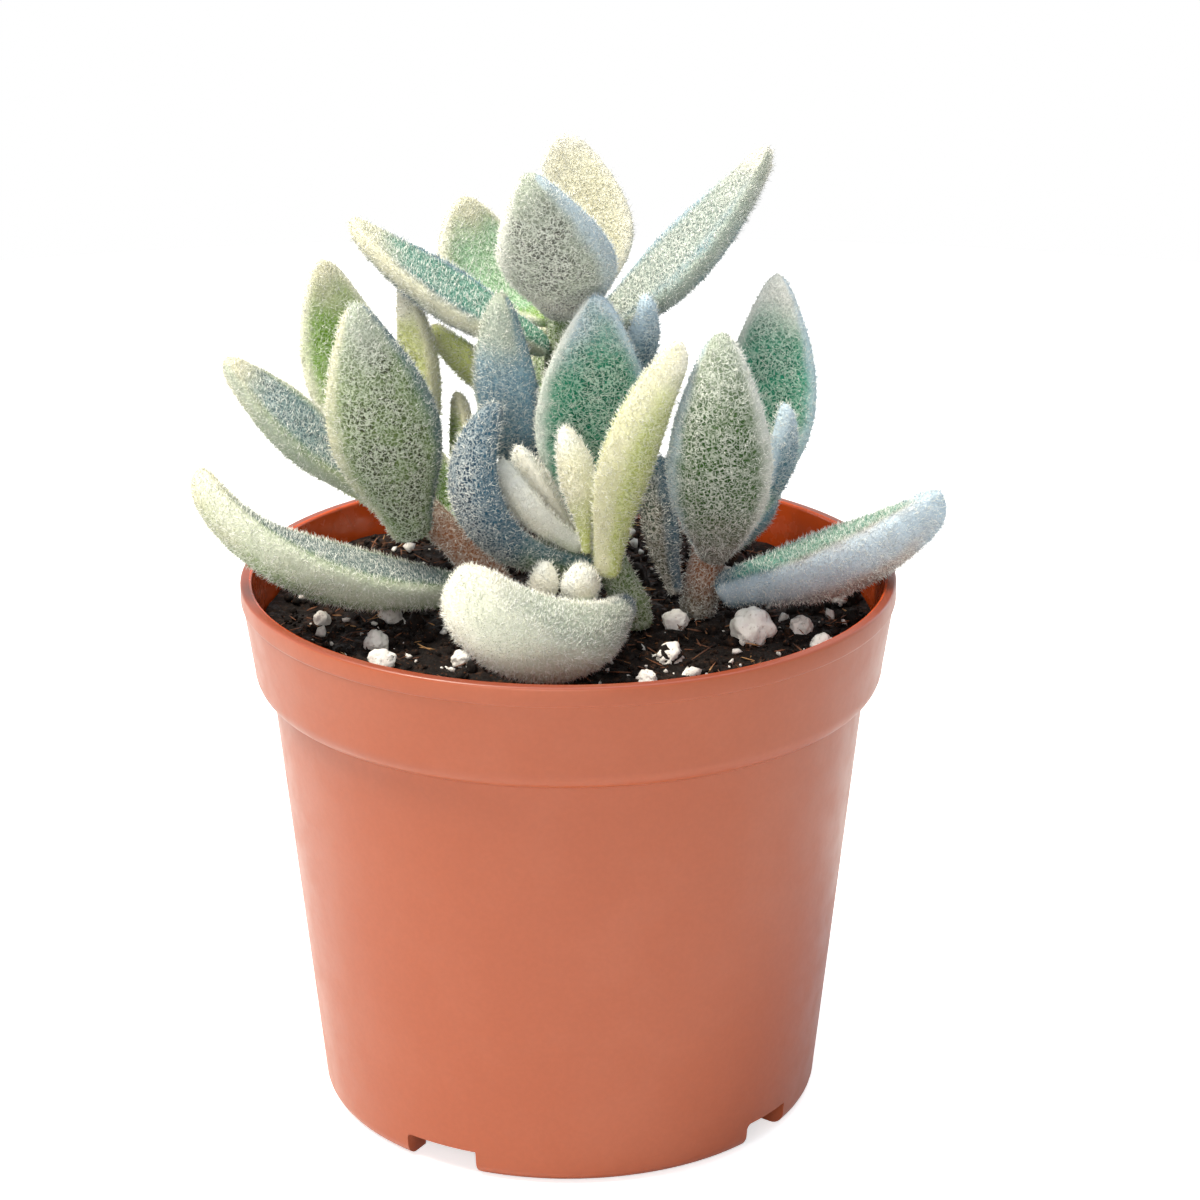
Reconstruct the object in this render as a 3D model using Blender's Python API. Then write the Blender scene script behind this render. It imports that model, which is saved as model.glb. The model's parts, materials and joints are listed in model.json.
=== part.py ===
"""A potted kalanchoe: four leafy stems and one bud in a tapered plastic nursery pot of potting soil.

Sizes are in metres, through MM. The origin is at the middle of the pot's base and +Z is up. The
plant's front, which its broadest leaves face, is towards -Y. Angles are in degrees, and a heading
of 0 points along +X and one of 90 along +Y.
"""

import math
from collections import namedtuple

import bmesh
import bpy
import numpy as np
from mathutils import Vector, noise

MM = 0.001
GAP = 0.3 * MM
SAME_POINT = 0.001 * MM
SMOOTH_UNDER = 40

# Pot: a two and a half inch nursery pot, round, with a plain band below its lip
POT_HEIGHT = 54.8 * MM
LIP_RADIUS = 32.5 * MM
LIP_DEPTH = 2.0 * MM
LIP_PROUD = 0.5 * MM
BAND_FOOT_RADIUS = 31.2 * MM
BAND_DEPTH = 9.6 * MM
SHOULDER_RADIUS = 29.6 * MM
SHOULDER_DEPTH = 10.9 * MM
BASE_RADIUS = 25.3 * MM
BASE_ROUNDING = 1.6 * MM
WALL = 0.95 * MM
LIP_EDGE = 0.3 * MM
LIP_UNDERCUT = 0.2 * MM
BAND_TURN = 0.9 * MM
BAND_CURVE_STEPS = 4
FOOT_RING_WIDTH = 3.2 * MM
FLOOR_UNDERSIDE = 3.4 * MM
FLOOR_THICKNESS = 1.0 * MM
POT_STEPS = 48
NOTCH_HEIGHT = 2.7 * MM
NOTCH_CORNER = 0.5 * MM
# Heading and width, in degrees, of each notch between the feet
NOTCHES = ((239.5, 18), (321, 14), (50, 18), (140, 18))
DRAIN_RADIUS = 2.2 * MM
DRAIN_RING_RADIUS = 13.0 * MM
DRAIN_COUNT = 4

# Soil
SOIL_LEVEL = 49.4 * MM
# The surface rises by this share towards the back, and is heaped at the left back, in mm
SOIL_SLOPE = 0.03
HEAP_PLACE = (-19.0, 15.0)
HEAP_HEIGHT = 1.5
HEAP_WIDTH = 9.5
# Heights in mm, and how fast they come and go in radians per mm along X and Y
SOIL_WAVES = ((0.12, 0.83, 0.31), (0.12, 0.47, -0.92))
SOIL_CRUMBS = (0.135, 1.9, 1.7)
SOIL_STEPS = 36
SOIL_RINGS = 7
STEM_DEPTH = 9.0 * MM
STEM_CLEARANCE = 0.3 * MM
STEM_UPRIGHT = 1.0 * MM

# Stems: name, place at the soil, place and height of the top in mm, radius at the soil and top
Stem = namedtuple("Stem", "foot top height radius_foot radius_top")
STEMS = {
    "left": Stem((-6.2, 3.0), (-16.4, 3.4), 62.0, 1.9, 1.5),
    "back": Stem((-1.0, 10.0), (-0.5, 9.5), 81.5, 2.0, 1.5),
    "front": Stem((6.5, -1.5), (2.6, -3.5), 60.0, 2.0, 1.4),
    "right": Stem((13.0, 1.5), (15.0, 2.0), 60.5, 1.9, 1.5),
    "bud": Stem((-1.3, -7.7), (-1.5, -7.9), 53.8, 1.1, 0.9),
}
STEM_RINGS = 12
STEM_TIP = 0.5
STEM_GAP = 0.45

# A leaf's outline: where it is widest along its length, and how wide its foot and tip are against
# that. A curl over 1 keeps the foot straight and bends the leaf near its tip. The trough is how
# hollow its top is, against the usual.
Outline = namedtuple("Outline", "widest petiole nub curl trough")
OUTLINES = {
    "broad": Outline(0.44, 0.40, 0.19, 1.0, 1.0),
    "long": Outline(0.50, 0.34, 0.24, 1.0, 1.0),
    "hooked": Outline(0.50, 0.34, 0.24, 1.4, 1.0),
    "blunt": Outline(0.78, 0.30, 0.39, 2.2, 0.0),
    "spade": Outline(0.36, 0.50, 0.26, 1.0, 1.0),
    "curled": Outline(0.50, 0.34, 0.24, 2.5, 1.0),
    "club": Outline(0.58, 0.34, 0.28, 1.2, 1.0),
}

# Leaves, in mm and degrees: the stem, the height of the foot, the side of the stem it sits on,
# the heading at the foot and tip, the rise at the foot and tip, length, width and depth, the way
# the underside faces, the roll about the leaf's own length, its outline and its colour.
Leaf = namedtuple(
    "Leaf", "stem height seat heading rise length width depth faces roll outline colour"
)
LEAVES = {
    "left_front": Leaf("left", 59.5, 239, (237, 194), (71, 80), 24.7, 11.7, 4.2, 267, -17, "broad", "sage"),
    "left_outer": Leaf("left", 61.5, 177, (197, 184), (48, 43), 21.1, 9.1, 3.5, 185, 22, "long", "sage"),
    "left_rear": Leaf("left", 61.8, 108, (128, 154), (49, 81), 24.3, 10.7, 3.3, 109, -2, "long", "green"),
    "left_rear_narrow": Leaf("left", 62.0, 56, (73, 134), (101, 65), 20.7, 5.4, 3.2, 57, 15, "long", "cream"),
    "left_inner": Leaf("left", 59.4, 358, (99, 116), (72, 80), 12.6, 4.6, 2.4, 20, 0, "long", "green"),
    "left_low": Leaf("left", 53.0, 225, (208, 141), (17, 55), 31.1, 10.4, 5.4, 191, -3, "curled", "sage"),
    "left_low_rear": Leaf("left", 56.0, 110, (110, 120), (15, 45), 18.0, 8.4, 3.6, 110, 0, "long", "sage"),
    "back_front": Leaf("back", 80.7, 262, (282, 223), (35, 68), 20.0, 12.3, 4.8, 248, -11, "broad", "sage"),
    "back_rear": Leaf("back", 80.0, 61, (71, 133), (61, 64), 16.6, 11.8, 3.2, 86, -3, "spade", "cream"),
    "back_right": Leaf("back", 76.5, 349, (354, 355), (40, 56), 26.5, 8.6, 4.2, 0, -25, "broad", "cream"),
    "back_rear_left": Leaf("back", 78.5, 142, (141, 130), (7, 75), 16.0, 12.4, 3.4, 127, -1, "long", "sage"),
    "back_left": Leaf("back", 76.1, 209, (209, 164), (33, 36), 23.1, 9.9, 3.6, 195, 23, "long", "blue"),
    "back_small_right": Leaf("back", 73.0, 327, (327, 303), (-3, 99), 14.5, 4.6, 2.8, 310, 0, "long", "blue"),
    "back_low_left": Leaf("back", 69.0, 184, (182, 171), (45, 33), 13.2, 7.0, 3.4, 200, 0, "long", "green"),
    "back_low_front": Leaf("back", 59.3, 225, (239, 252), (56, 92), 25.5, 7.1, 3.1, 247, -3, "club", "blue"),
    "back_low_rear": Leaf("back", 62.0, 85, (85, 95), (20, 55), 22.0, 9.6, 4.0, 85, 0, "long", "sage"),
    "back_mid_rear": Leaf("back", 66.0, 40, (40, 50), (5, 40), 15.0, 8.0, 3.6, 40, 0, "long", "sage"),
    "back_low_right": Leaf("back", 58.0, 10, (10, 5), (10, 45), 15.0, 7.4, 3.4, 10, 0, "long", "blue"),
    "front_rear": Leaf("front", 58.5, 110, (112, 99), (88, 102), 25.5, 12.2, 3.2, 92, 0, "broad", "teal"),
    "front_left": Leaf("front", 57.2, 204, (191, 219), (10, 146), 23.4, 7.4, 3.8, 216, -5, "hooked", "blue"),
    "front_right": Leaf("front", 57.8, 265, (308, 370), (85, 50), 24.9, 6.1, 4.8, 325, 0, "hooked", "cream"),
    "front_low": Leaf("front", 52.7, 263, (258, 165), (5, 61), 31.9, 9.5, 7.2, 214, 23, "blunt", "cream"),
    "young_left": Leaf("front", 59.7, 207, (189, 171), (36, 66), 11.0, 4.0, 3.1, 214, -1, "club", "cream"),
    "young_rear": Leaf("front", 60.0, 165, (177, 167), (66, 48), 10.1, 3.8, 2.7, 182, 2, "club", "sage"),
    "young_top": Leaf("front", 60.0, 252, (138, 141), (86, 63), 11.6, 3.8, 3.2, 262, -2, "club", "cream"),
    "bud_left": Leaf("bud", 53.8, 203, (200, 195), (121, 78), 5.1, 3.4, 2.2, 205, -23, "club", "cream"),
    "bud_right": Leaf("bud", 53.7, 347, (10, 12), (83, 84), 4.8, 4.4, 3.0, 317, 9, "club", "cream"),
    "right_front": Leaf("right", 57.5, 272, (272, 267), (32, 120), 27.0, 10.8, 4.2, 265, 0, "long", "green"),
    "right_rear": Leaf("right", 59.4, 33, (39, 69), (65, 90), 24.6, 10.4, 3.4, 80, -1, "broad", "teal"),
    "right_small": Leaf("right", 60.0, 330, (340, 387), (50, 92), 13.0, 4.4, 2.6, 320, 0, "long", "blue"),
    "right_inner": Leaf("right", 53.5, 204, (204, 190), (75, 91), 13.5, 4.6, 3.0, 215, 0, "long", "teal"),
    "right_low": Leaf("right", 53.6, 318, (340, 385), (22, 23), 23.6, 10.2, 6.5, 355, 0, "long", "blue"),
    "right_low_rear": Leaf("right", 55.5, 70, (70, 70), (10, 45), 17.0, 8.4, 3.6, 70, 0, "long", "sage"),
}
LEAF_SIDES = 12
LEAF_RINGS = (0.0, 0.06, 0.15, 0.26, 0.38, 0.51, 0.64, 0.76, 0.86, 0.935, 0.98)
LEAF_STEPS = 48
TIP_ROUNDING = 0.08


def direction(heading, rise):
    """The unit vector with this heading and rise."""
    a = math.radians(heading)
    r = math.radians(rise)
    return np.array([math.cos(r) * math.cos(a), math.cos(r) * math.sin(a), math.sin(r)])


def stem_at(stem, height):
    """The middle of the stem at a height in mm, and its radius there. It stands upright just above
    the soil, and then leans in a slight bow."""
    start = (SOIL_LEVEL + STEM_UPRIGHT) / MM
    t = (height - start) / (stem.height - start)
    t = min(1.0, max(0.0, t))
    bow = t * (0.75 + 0.25 * t)
    x = stem.foot[0] + (stem.top[0] - stem.foot[0]) * bow
    y = stem.foot[1] + (stem.top[1] - stem.foot[1]) * bow
    return np.array([x, y, height]), stem.radius_foot + (stem.radius_top - stem.radius_foot) * t


def leaf_foot(leaf):
    """Where a leaf starts, just clear of its stem. It starts further out where it rises steeply,
    or where the stem leans towards it or away."""
    stem = STEMS[leaf.stem]
    side = direction(leaf.seat, 0)
    middle, radius = stem_at(stem, leaf.height)
    above = stem_at(stem, leaf.height + leaf.depth / 3)[0]
    lean = 0.24 * leaf.depth * max(0.0, math.sin(math.radians(leaf.rise[0])))
    lean += abs((above - middle) @ side)
    return middle + side * (radius + STEM_GAP + lean)


def leaf_spine(leaf):
    """The leaf's middle line from foot to tip, with its heading and rise at each point."""
    curl = OUTLINES[leaf.outline].curl
    bends = (np.arange(LEAF_STEPS + 1) / LEAF_STEPS) ** curl
    headings = leaf.heading[0] + (leaf.heading[1] - leaf.heading[0]) * bends
    rises = leaf.rise[0] + (leaf.rise[1] - leaf.rise[0]) * bends
    points = [leaf_foot(leaf)]
    for step in range(LEAF_STEPS):
        bend = ((step + 0.5) / LEAF_STEPS) ** curl
        heading = leaf.heading[0] + (leaf.heading[1] - leaf.heading[0]) * bend
        rise = leaf.rise[0] + (leaf.rise[1] - leaf.rise[0]) * bend
        points.append(points[-1] + direction(heading, rise) * leaf.length / LEAF_STEPS)
    return np.array(points), headings, rises


def rounding(t):
    """The half circle that closes a leaf's last stretch."""
    if t <= 1 - TIP_ROUNDING:
        return 1.0
    return math.sqrt(max(0.0, 1 - ((t - 1 + TIP_ROUNDING) / TIP_ROUNDING) ** 2))


def outline_at(outline, t):
    """The leaf's width at t along it, against its greatest width."""
    if t < outline.widest:
        swell = math.sin(math.pi / 2 * t / outline.widest) ** 1.6
        return outline.petiole + (1 - outline.petiole) * swell
    taper = math.cos(math.pi / 2 * (t - outline.widest) / (1 - outline.widest)) ** 1.15
    return (outline.nub + (1 - outline.nub) * taper) * rounding(t)


def leaf_section(leaf, t):
    """Offsets across and up of the leaf's section at t: a full underside and a shallow trough on top."""
    share = outline_at(OUTLINES[leaf.outline], t)
    half_width = leaf.width / 2 * share
    depth = leaf.depth * (0.35 + 0.65 * share) * rounding(t)
    middle = 0.0
    if 0.06 < t < 0.96:
        middle = math.sin(math.pi * (t - 0.06) / 0.9) ** 0.7
    trough = OUTLINES[leaf.outline].trough * middle * leaf.width / 12
    offsets = []
    for side in range(LEAF_SIDES):
        angle = 2 * math.pi * side / LEAF_SIDES
        up = math.sin(angle)
        if up >= 0:
            height = 0.35 * depth * up - trough * up * up
        else:
            height = -0.78 * depth * abs(up) ** 0.9
        offsets.append((half_width * math.cos(angle), height))
    return offsets


def leaf_rings(leaf):
    """The rings of points round the leaf in mm, from its foot, and the point of its tip."""
    points, headings, rises = leaf_spine(leaf)
    grid = np.linspace(0, 1, len(points))
    under = direction(leaf.faces, -35)
    roll = math.radians(leaf.roll)
    rings = []
    for t in LEAF_RINGS:
        middle = np.array([np.interp(t, grid, points[:, axis]) for axis in range(3)])
        along = direction(np.interp(t, grid, headings), np.interp(t, grid, rises))
        top = along * (along @ under) - under
        top /= np.linalg.norm(top)
        across = np.cross(along, top)
        across_rolled = across * math.cos(roll) + top * math.sin(roll)
        top_rolled = top * math.cos(roll) - across * math.sin(roll)
        section = leaf_section(leaf, t)
        rings.append([middle + across_rolled * x + top_rolled * y for x, y in section])
    return rings, points[-1]


# Perlite lumps, in mm: place on the soil and radius
PERLITE = (
    (18.1, -5.0, 2.2),
    (9.8, -10.4, 1.3),
    (10.6, -1.8, 1.3),
    (23.0, -2.9, 1.2),
    (24.8, -7.4, 1.2),
    (27.4, 4.9, 0.9),
    (17.6, 21.4, 1.4),
    (-17.2, 21.2, 1.3),
    (-17.8, 0.6, 1.2),
    (-18.9, -7.0, 1.2),
    (-24.6, -0.4, 0.9),
    (-10.4, -11.0, 1.0),
    (7.4, -16.4, 1.1),
    (-18.1, -12.2, 1.4),
)
PERLITE_SINK = 0.45
PERLITE_ROUGHNESS = 0.16

# Finishes: sRGB colour in steps of 255, and roughness
Finish = namedtuple("Finish", "red green blue roughness")
FINISHES = {
    "terracotta": Finish(197, 110, 80, 0.38),
    "soil": Finish(52, 38, 32, 0.95),
    "perlite": Finish(226, 221, 214, 0.9),
    "bark": Finish(148, 112, 92, 0.8),
    "sage": Finish(176, 186, 158, 0.85),
    "green": Finish(134, 158, 112, 0.85),
    "cream": Finish(216, 217, 190, 0.85),
    "teal": Finish(126, 164, 146, 0.85),
    "blue": Finish(160, 178, 180, 0.85),
}


def soil_height(x, y):
    """The height of the soil's surface at a place in mm: level, with a slope, a heap and crumbs."""
    away = math.hypot(x - HEAP_PLACE[0], y - HEAP_PLACE[1]) / HEAP_WIDTH
    height = SOIL_LEVEL / MM + SOIL_SLOPE * y + HEAP_HEIGHT * math.exp(-away * away)
    for swell, turns_x, turns_y in SOIL_WAVES:
        height += swell * math.sin(turns_x * x + turns_y * y)
    crumb, turns_x, turns_y = SOIL_CRUMBS
    return height + crumb * math.sin(turns_x * x) * math.sin(turns_y * y)


def linear(step):
    """One part of an sRGB colour, 0 to 255, as linear light."""
    share = step / 255
    if share <= 0.04045:
        return share / 12.92
    return ((share + 0.055) / 1.055) ** 2.4


def material(name):
    """The Principled material of this finish, made once."""
    found = bpy.data.materials.get(name)
    if found:
        return found
    finish = FINISHES[name]
    made = bpy.data.materials.new(name)
    made.use_nodes = True
    shader = made.node_tree.nodes["Principled BSDF"]
    colour = [linear(finish.red), linear(finish.green), linear(finish.blue), 1.0]
    shader.inputs["Base Color"].default_value = colour
    shader.inputs["Roughness"].default_value = finish.roughness
    shader.inputs["Metallic"].default_value = 0.0
    made.diffuse_color = colour
    return made


def clear_scene():
    for obj in list(bpy.data.objects):
        bpy.data.objects.remove(obj)


def add_object(name, bm, finish, collection=None):
    """The bmesh as an object of this name, shaded smooth but for its edges."""
    mesh = bpy.data.meshes.new(name)
    bm.to_mesh(mesh)
    bm.free()
    mesh.shade_smooth()
    mesh.set_sharp_from_angle(angle=math.radians(SMOOTH_UNDER))
    obj = bpy.data.objects.new(name, mesh)
    (collection or bpy.context.scene.collection).objects.link(obj)
    if finish:
        mesh.materials.append(material(finish))
    return obj


def cutter_collection(name):
    made = bpy.data.collections.new(name)
    bpy.context.scene.collection.children.link(made)
    return made


def add_cutter(name, bm, collection):
    """A helper that a Boolean takes away, left out of the render."""
    obj = add_object(name, bm, None, collection)
    obj.hide_render = True
    obj.display_type = "WIRE"
    return obj


def cut(obj, collection):
    """Takes everything in the collection out of the object."""
    boolean = obj.modifiers.new("Cut", "BOOLEAN")
    boolean.operand_type = "COLLECTION"
    boolean.collection = collection
    boolean.operation = "DIFFERENCE"
    boolean.solver = "EXACT"


def spun(profile, steps):
    """A solid turned about Z from (radius, height) points that start and end on the axis."""
    bm = bmesh.new()
    verts = [bm.verts.new((radius, 0, height)) for radius, height in profile]
    edges = [bm.edges.new(pair) for pair in zip(verts, verts[1:])]
    bmesh.ops.spin(
        bm, geom=verts + edges, axis=(0, 0, 1), cent=(0, 0, 0), angle=2 * math.pi, steps=steps
    )
    bmesh.ops.remove_doubles(bm, verts=bm.verts, dist=SAME_POINT)
    bmesh.ops.recalc_face_normals(bm, faces=bm.faces)
    return bm


def arc(radius, middle, start, end, steps):
    """Points on an arc in the profile's plane, between two angles in degrees."""
    points = []
    for step in range(steps + 1):
        angle = math.radians(start + (end - start) * step / steps)
        points.append((middle[0] + radius * math.cos(angle), middle[1] + radius * math.sin(angle)))
    return points


def wall_outside(height):
    """The radius of the pot's outer wall below the lip, at a height above the rounded foot."""
    shoulder = POT_HEIGHT - SHOULDER_DEPTH
    band_foot = POT_HEIGHT - BAND_DEPTH
    band_top = POT_HEIGHT - LIP_DEPTH
    heights = (BASE_ROUNDING, shoulder, band_foot, band_top)
    radii = (BASE_RADIUS, SHOULDER_RADIUS, BAND_FOOT_RADIUS, LIP_RADIUS - LIP_PROUD)
    return float(np.interp(height, heights, radii))


def pot_profile():
    """The wall, floor and foot as one section, from the floor's top out over the lip and down."""
    floor_top = FLOOR_UNDERSIDE + FLOOR_THICKNESS
    shoulder = POT_HEIGHT - SHOULDER_DEPTH
    band_foot = POT_HEIGHT - BAND_DEPTH
    band_top = POT_HEIGHT - LIP_DEPTH
    foot_inside = BASE_RADIUS - FOOT_RING_WIDTH
    inside = [(0, floor_top)]
    for height in (floor_top, shoulder, band_foot, POT_HEIGHT - LIP_EDGE):
        inside.append((wall_outside(height) - WALL, height))
    rim = [(wall_outside(POT_HEIGHT) - WALL + LIP_EDGE, POT_HEIGHT)]
    rim += arc(LIP_EDGE, (LIP_RADIUS - LIP_EDGE, POT_HEIGHT - LIP_EDGE), 90, 0, 2)
    rim += arc(LIP_EDGE, (LIP_RADIUS - LIP_EDGE, band_top + LIP_EDGE), 0, -60, 2)
    outside = [(wall_outside(band_top), band_top - LIP_UNDERCUT)]
    for step in range(BAND_CURVE_STEPS + 1):
        share = step / BAND_CURVE_STEPS
        drop = BAND_DEPTH - BAND_TURN + (SHOULDER_DEPTH - BAND_DEPTH + BAND_TURN) * share
        start = wall_outside(POT_HEIGHT - BAND_DEPTH + BAND_TURN)
        turn = SHOULDER_RADIUS + (start - SHOULDER_RADIUS) * math.sqrt(1 - share**2)
        outside.append((turn, POT_HEIGHT - drop))
    foot = arc(BASE_ROUNDING, (BASE_RADIUS - BASE_ROUNDING, BASE_ROUNDING), 0, -90, 4)
    foot += [(foot_inside, 0), (foot_inside, FLOOR_UNDERSIDE), (0, FLOOR_UNDERSIDE)]
    return inside + rim + outside + foot


def notch_cutters(collection):
    """Slots under the foot ring that let water out from below the pot."""
    depth = 3 * FOOT_RING_WIDTH
    for number, (heading, width) in enumerate(NOTCHES):
        bm = bmesh.new()
        bmesh.ops.create_cube(bm, size=1)
        breadth = 2 * BASE_RADIUS * math.sin(math.radians(width / 2))
        bmesh.ops.scale(bm, vec=(depth, breadth, 2 * NOTCH_HEIGHT), verts=bm.verts)
        upright = [edge for edge in bm.edges if abs(edge.verts[0].co.x - edge.verts[1].co.x) > MM]
        bmesh.ops.bevel(
            bm, geom=upright, offset=NOTCH_CORNER, segments=2, profile=0.5, affect="EDGES"
        )
        bmesh.ops.translate(bm, vec=(BASE_RADIUS, 0, 0), verts=bm.verts)
        cutter = add_cutter(f"notch_cutter_{number + 1}", bm, collection)
        cutter.rotation_euler.z = math.radians(heading)


def drain_cutters(collection):
    """Round drain holes through the pot's floor."""
    for number in range(DRAIN_COUNT):
        bm = bmesh.new()
        bmesh.ops.create_cone(
            bm,
            cap_ends=True,
            segments=12,
            radius1=DRAIN_RADIUS,
            radius2=DRAIN_RADIUS,
            depth=4 * FLOOR_THICKNESS,
        )
        cutter = add_cutter(f"drain_cutter_{number + 1}", bm, collection)
        angle = 2 * math.pi * (number + 0.5) / DRAIN_COUNT
        cutter.location = (
            DRAIN_RING_RADIUS * math.cos(angle),
            DRAIN_RING_RADIUS * math.sin(angle),
            FLOOR_UNDERSIDE + FLOOR_THICKNESS / 2,
        )


def build_pot():
    pot = add_object("pot", spun(pot_profile(), POT_STEPS), "terracotta")
    collection = cutter_collection("pot_cutters")
    notch_cutters(collection)
    drain_cutters(collection)
    cut(pot, collection)


def soil_profile():
    """The soil's section: it fills the pot from the floor up, a gap inside the wall."""
    bottom = FLOOR_UNDERSIDE + FLOOR_THICKNESS + GAP
    shoulder = POT_HEIGHT - SHOULDER_DEPTH
    band_foot = POT_HEIGHT - BAND_DEPTH
    profile = [(0, bottom)]
    for height in (bottom, shoulder, band_foot, SOIL_LEVEL):
        profile.append((wall_outside(height) - WALL - GAP, height))
    edge = profile[-1][0]
    for ring in range(SOIL_RINGS - 1, -1, -1):
        profile.append((edge * ring / SOIL_RINGS, SOIL_LEVEL))
    return profile


def stem_hole_cutters(collection):
    """Plain round holes that the stems stand in."""
    for name, stem in STEMS.items():
        bm = bmesh.new()
        radius = stem.radius_foot * MM + GAP
        bmesh.ops.create_cone(
            bm, cap_ends=True, segments=14, radius1=radius, radius2=radius, depth=2 * STEM_DEPTH
        )
        cutter = add_cutter(f"{name}_hole_cutter", bm, collection)
        cutter.location = (stem.foot[0] * MM, stem.foot[1] * MM, SOIL_LEVEL)


def lump(radius, seed):
    """A knobbly ball of this radius in mm, the same each time for the same seed."""
    bm = bmesh.new()
    bmesh.ops.create_icosphere(bm, subdivisions=2, radius=1)
    offset = Vector((7.3 * seed, 3.1 * seed, 5.7 * seed))
    for vert in bm.verts:
        knob = noise.noise(vert.co * 1.7 + offset)
        vert.co *= radius * MM * (1 + 2 * PERLITE_ROUGHNESS * knob)
    return bm


def lump_place(x, y, radius):
    """Where a lump's middle lies, part sunk in the soil."""
    return (x * MM, y * MM, (soil_height(x, y) + PERLITE_SINK * radius) * MM)


def lump_pocket_cutters(collection):
    for number, (x, y, radius) in enumerate(PERLITE):
        bm = bmesh.new()
        pocket = radius * (1 + PERLITE_ROUGHNESS) * MM + GAP
        bmesh.ops.create_icosphere(bm, subdivisions=2, radius=pocket)
        cutter = add_cutter(f"pocket_cutter_{number + 1}", bm, collection)
        cutter.location = lump_place(x, y, radius)


def build_soil():
    bm = spun(soil_profile(), SOIL_STEPS)
    for vert in bm.verts:
        if abs(vert.co.z - SOIL_LEVEL) < SAME_POINT:
            vert.co.z = soil_height(vert.co.x / MM, vert.co.y / MM) * MM
    soil = add_object("soil", bm, "soil")
    collection = cutter_collection("soil_cutters")
    stem_hole_cutters(collection)
    lump_pocket_cutters(collection)
    cut(soil, collection)


def build_perlite():
    for number, (x, y, radius) in enumerate(PERLITE):
        obj = add_object(f"perlite_{number + 1}", lump(radius, number + 1), "perlite")
        obj.location = lump_place(x, y, radius)


def build_stem(name, stem):
    """A round stem that stands upright in its hole, then leans, and thins to a blunt top."""
    buried = SOIL_LEVEL / MM - STEM_DEPTH + STEM_CLEARANCE / MM
    points = [(stem.foot[0], stem.foot[1], buried, stem.radius_foot)]
    start = (SOIL_LEVEL + STEM_UPRIGHT) / MM
    for height in np.linspace(start, stem.height, STEM_RINGS):
        middle, radius = stem_at(stem, height)
        points.append((middle[0], middle[1], height, radius))
    middle, radius = stem_at(stem, stem.height)
    points.append((middle[0], middle[1], stem.height + STEM_TIP * radius, STEM_TIP * radius))
    curve = bpy.data.curves.new(f"{name}_stem", "CURVE")
    curve.dimensions = "3D"
    curve.bevel_depth = MM
    curve.bevel_resolution = 3
    curve.use_fill_caps = True
    spline = curve.splines.new("POLY")
    spline.points.add(len(points) - 1)
    for point, (x, y, z, radius) in zip(spline.points, points):
        point.co = (x * MM, y * MM, z * MM, 1)
        point.radius = radius
    spline.use_smooth = True
    curve.materials.append(material("bark"))
    obj = bpy.data.objects.new(f"{name}_stem", curve)
    bpy.context.scene.collection.objects.link(obj)


def build_leaf(name, leaf):
    """A thick leaf skinned over its rings, with a flat foot and a rounded tip."""
    rings, tip = leaf_rings(leaf)
    bm = bmesh.new()
    loops = [[bm.verts.new(Vector(point) * MM) for point in ring] for ring in rings]
    bm.faces.new(loops[0])
    for lower, upper in zip(loops, loops[1:]):
        for side in range(LEAF_SIDES):
            after = (side + 1) % LEAF_SIDES
            bm.faces.new((lower[side], lower[after], upper[after], upper[side]))
    end = bm.verts.new(Vector(tip) * MM)
    for side in range(LEAF_SIDES):
        bm.faces.new((loops[-1][side], loops[-1][(side + 1) % LEAF_SIDES], end))
    bmesh.ops.triangulate(bm, faces=bm.faces)
    bmesh.ops.recalc_face_normals(bm, faces=bm.faces)
    add_object(f"{name}_leaf", bm, leaf.colour)


def main():
    clear_scene()
    build_pot()
    build_soil()
    build_perlite()
    for name, stem in STEMS.items():
        build_stem(name, stem)
    for name, leaf in LEAVES.items():
        build_leaf(name, leaf)


main()
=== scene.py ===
"""The looks of a potted kalanchoe: a plastic pot, moist potting soil and four stems of furry leaves.

It is laid out as an add-on and run as a script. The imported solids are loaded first, and each
operator then dresses one kind of piece. Lengths in the settings are metres, written through MM.
The origin is at the middle of the pot's base, +Z is up, and the plant's front faces -Y.
"""

import json
import math
from collections import namedtuple

import bmesh
import bpy
import numpy as np
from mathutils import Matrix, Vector, noise

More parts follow.
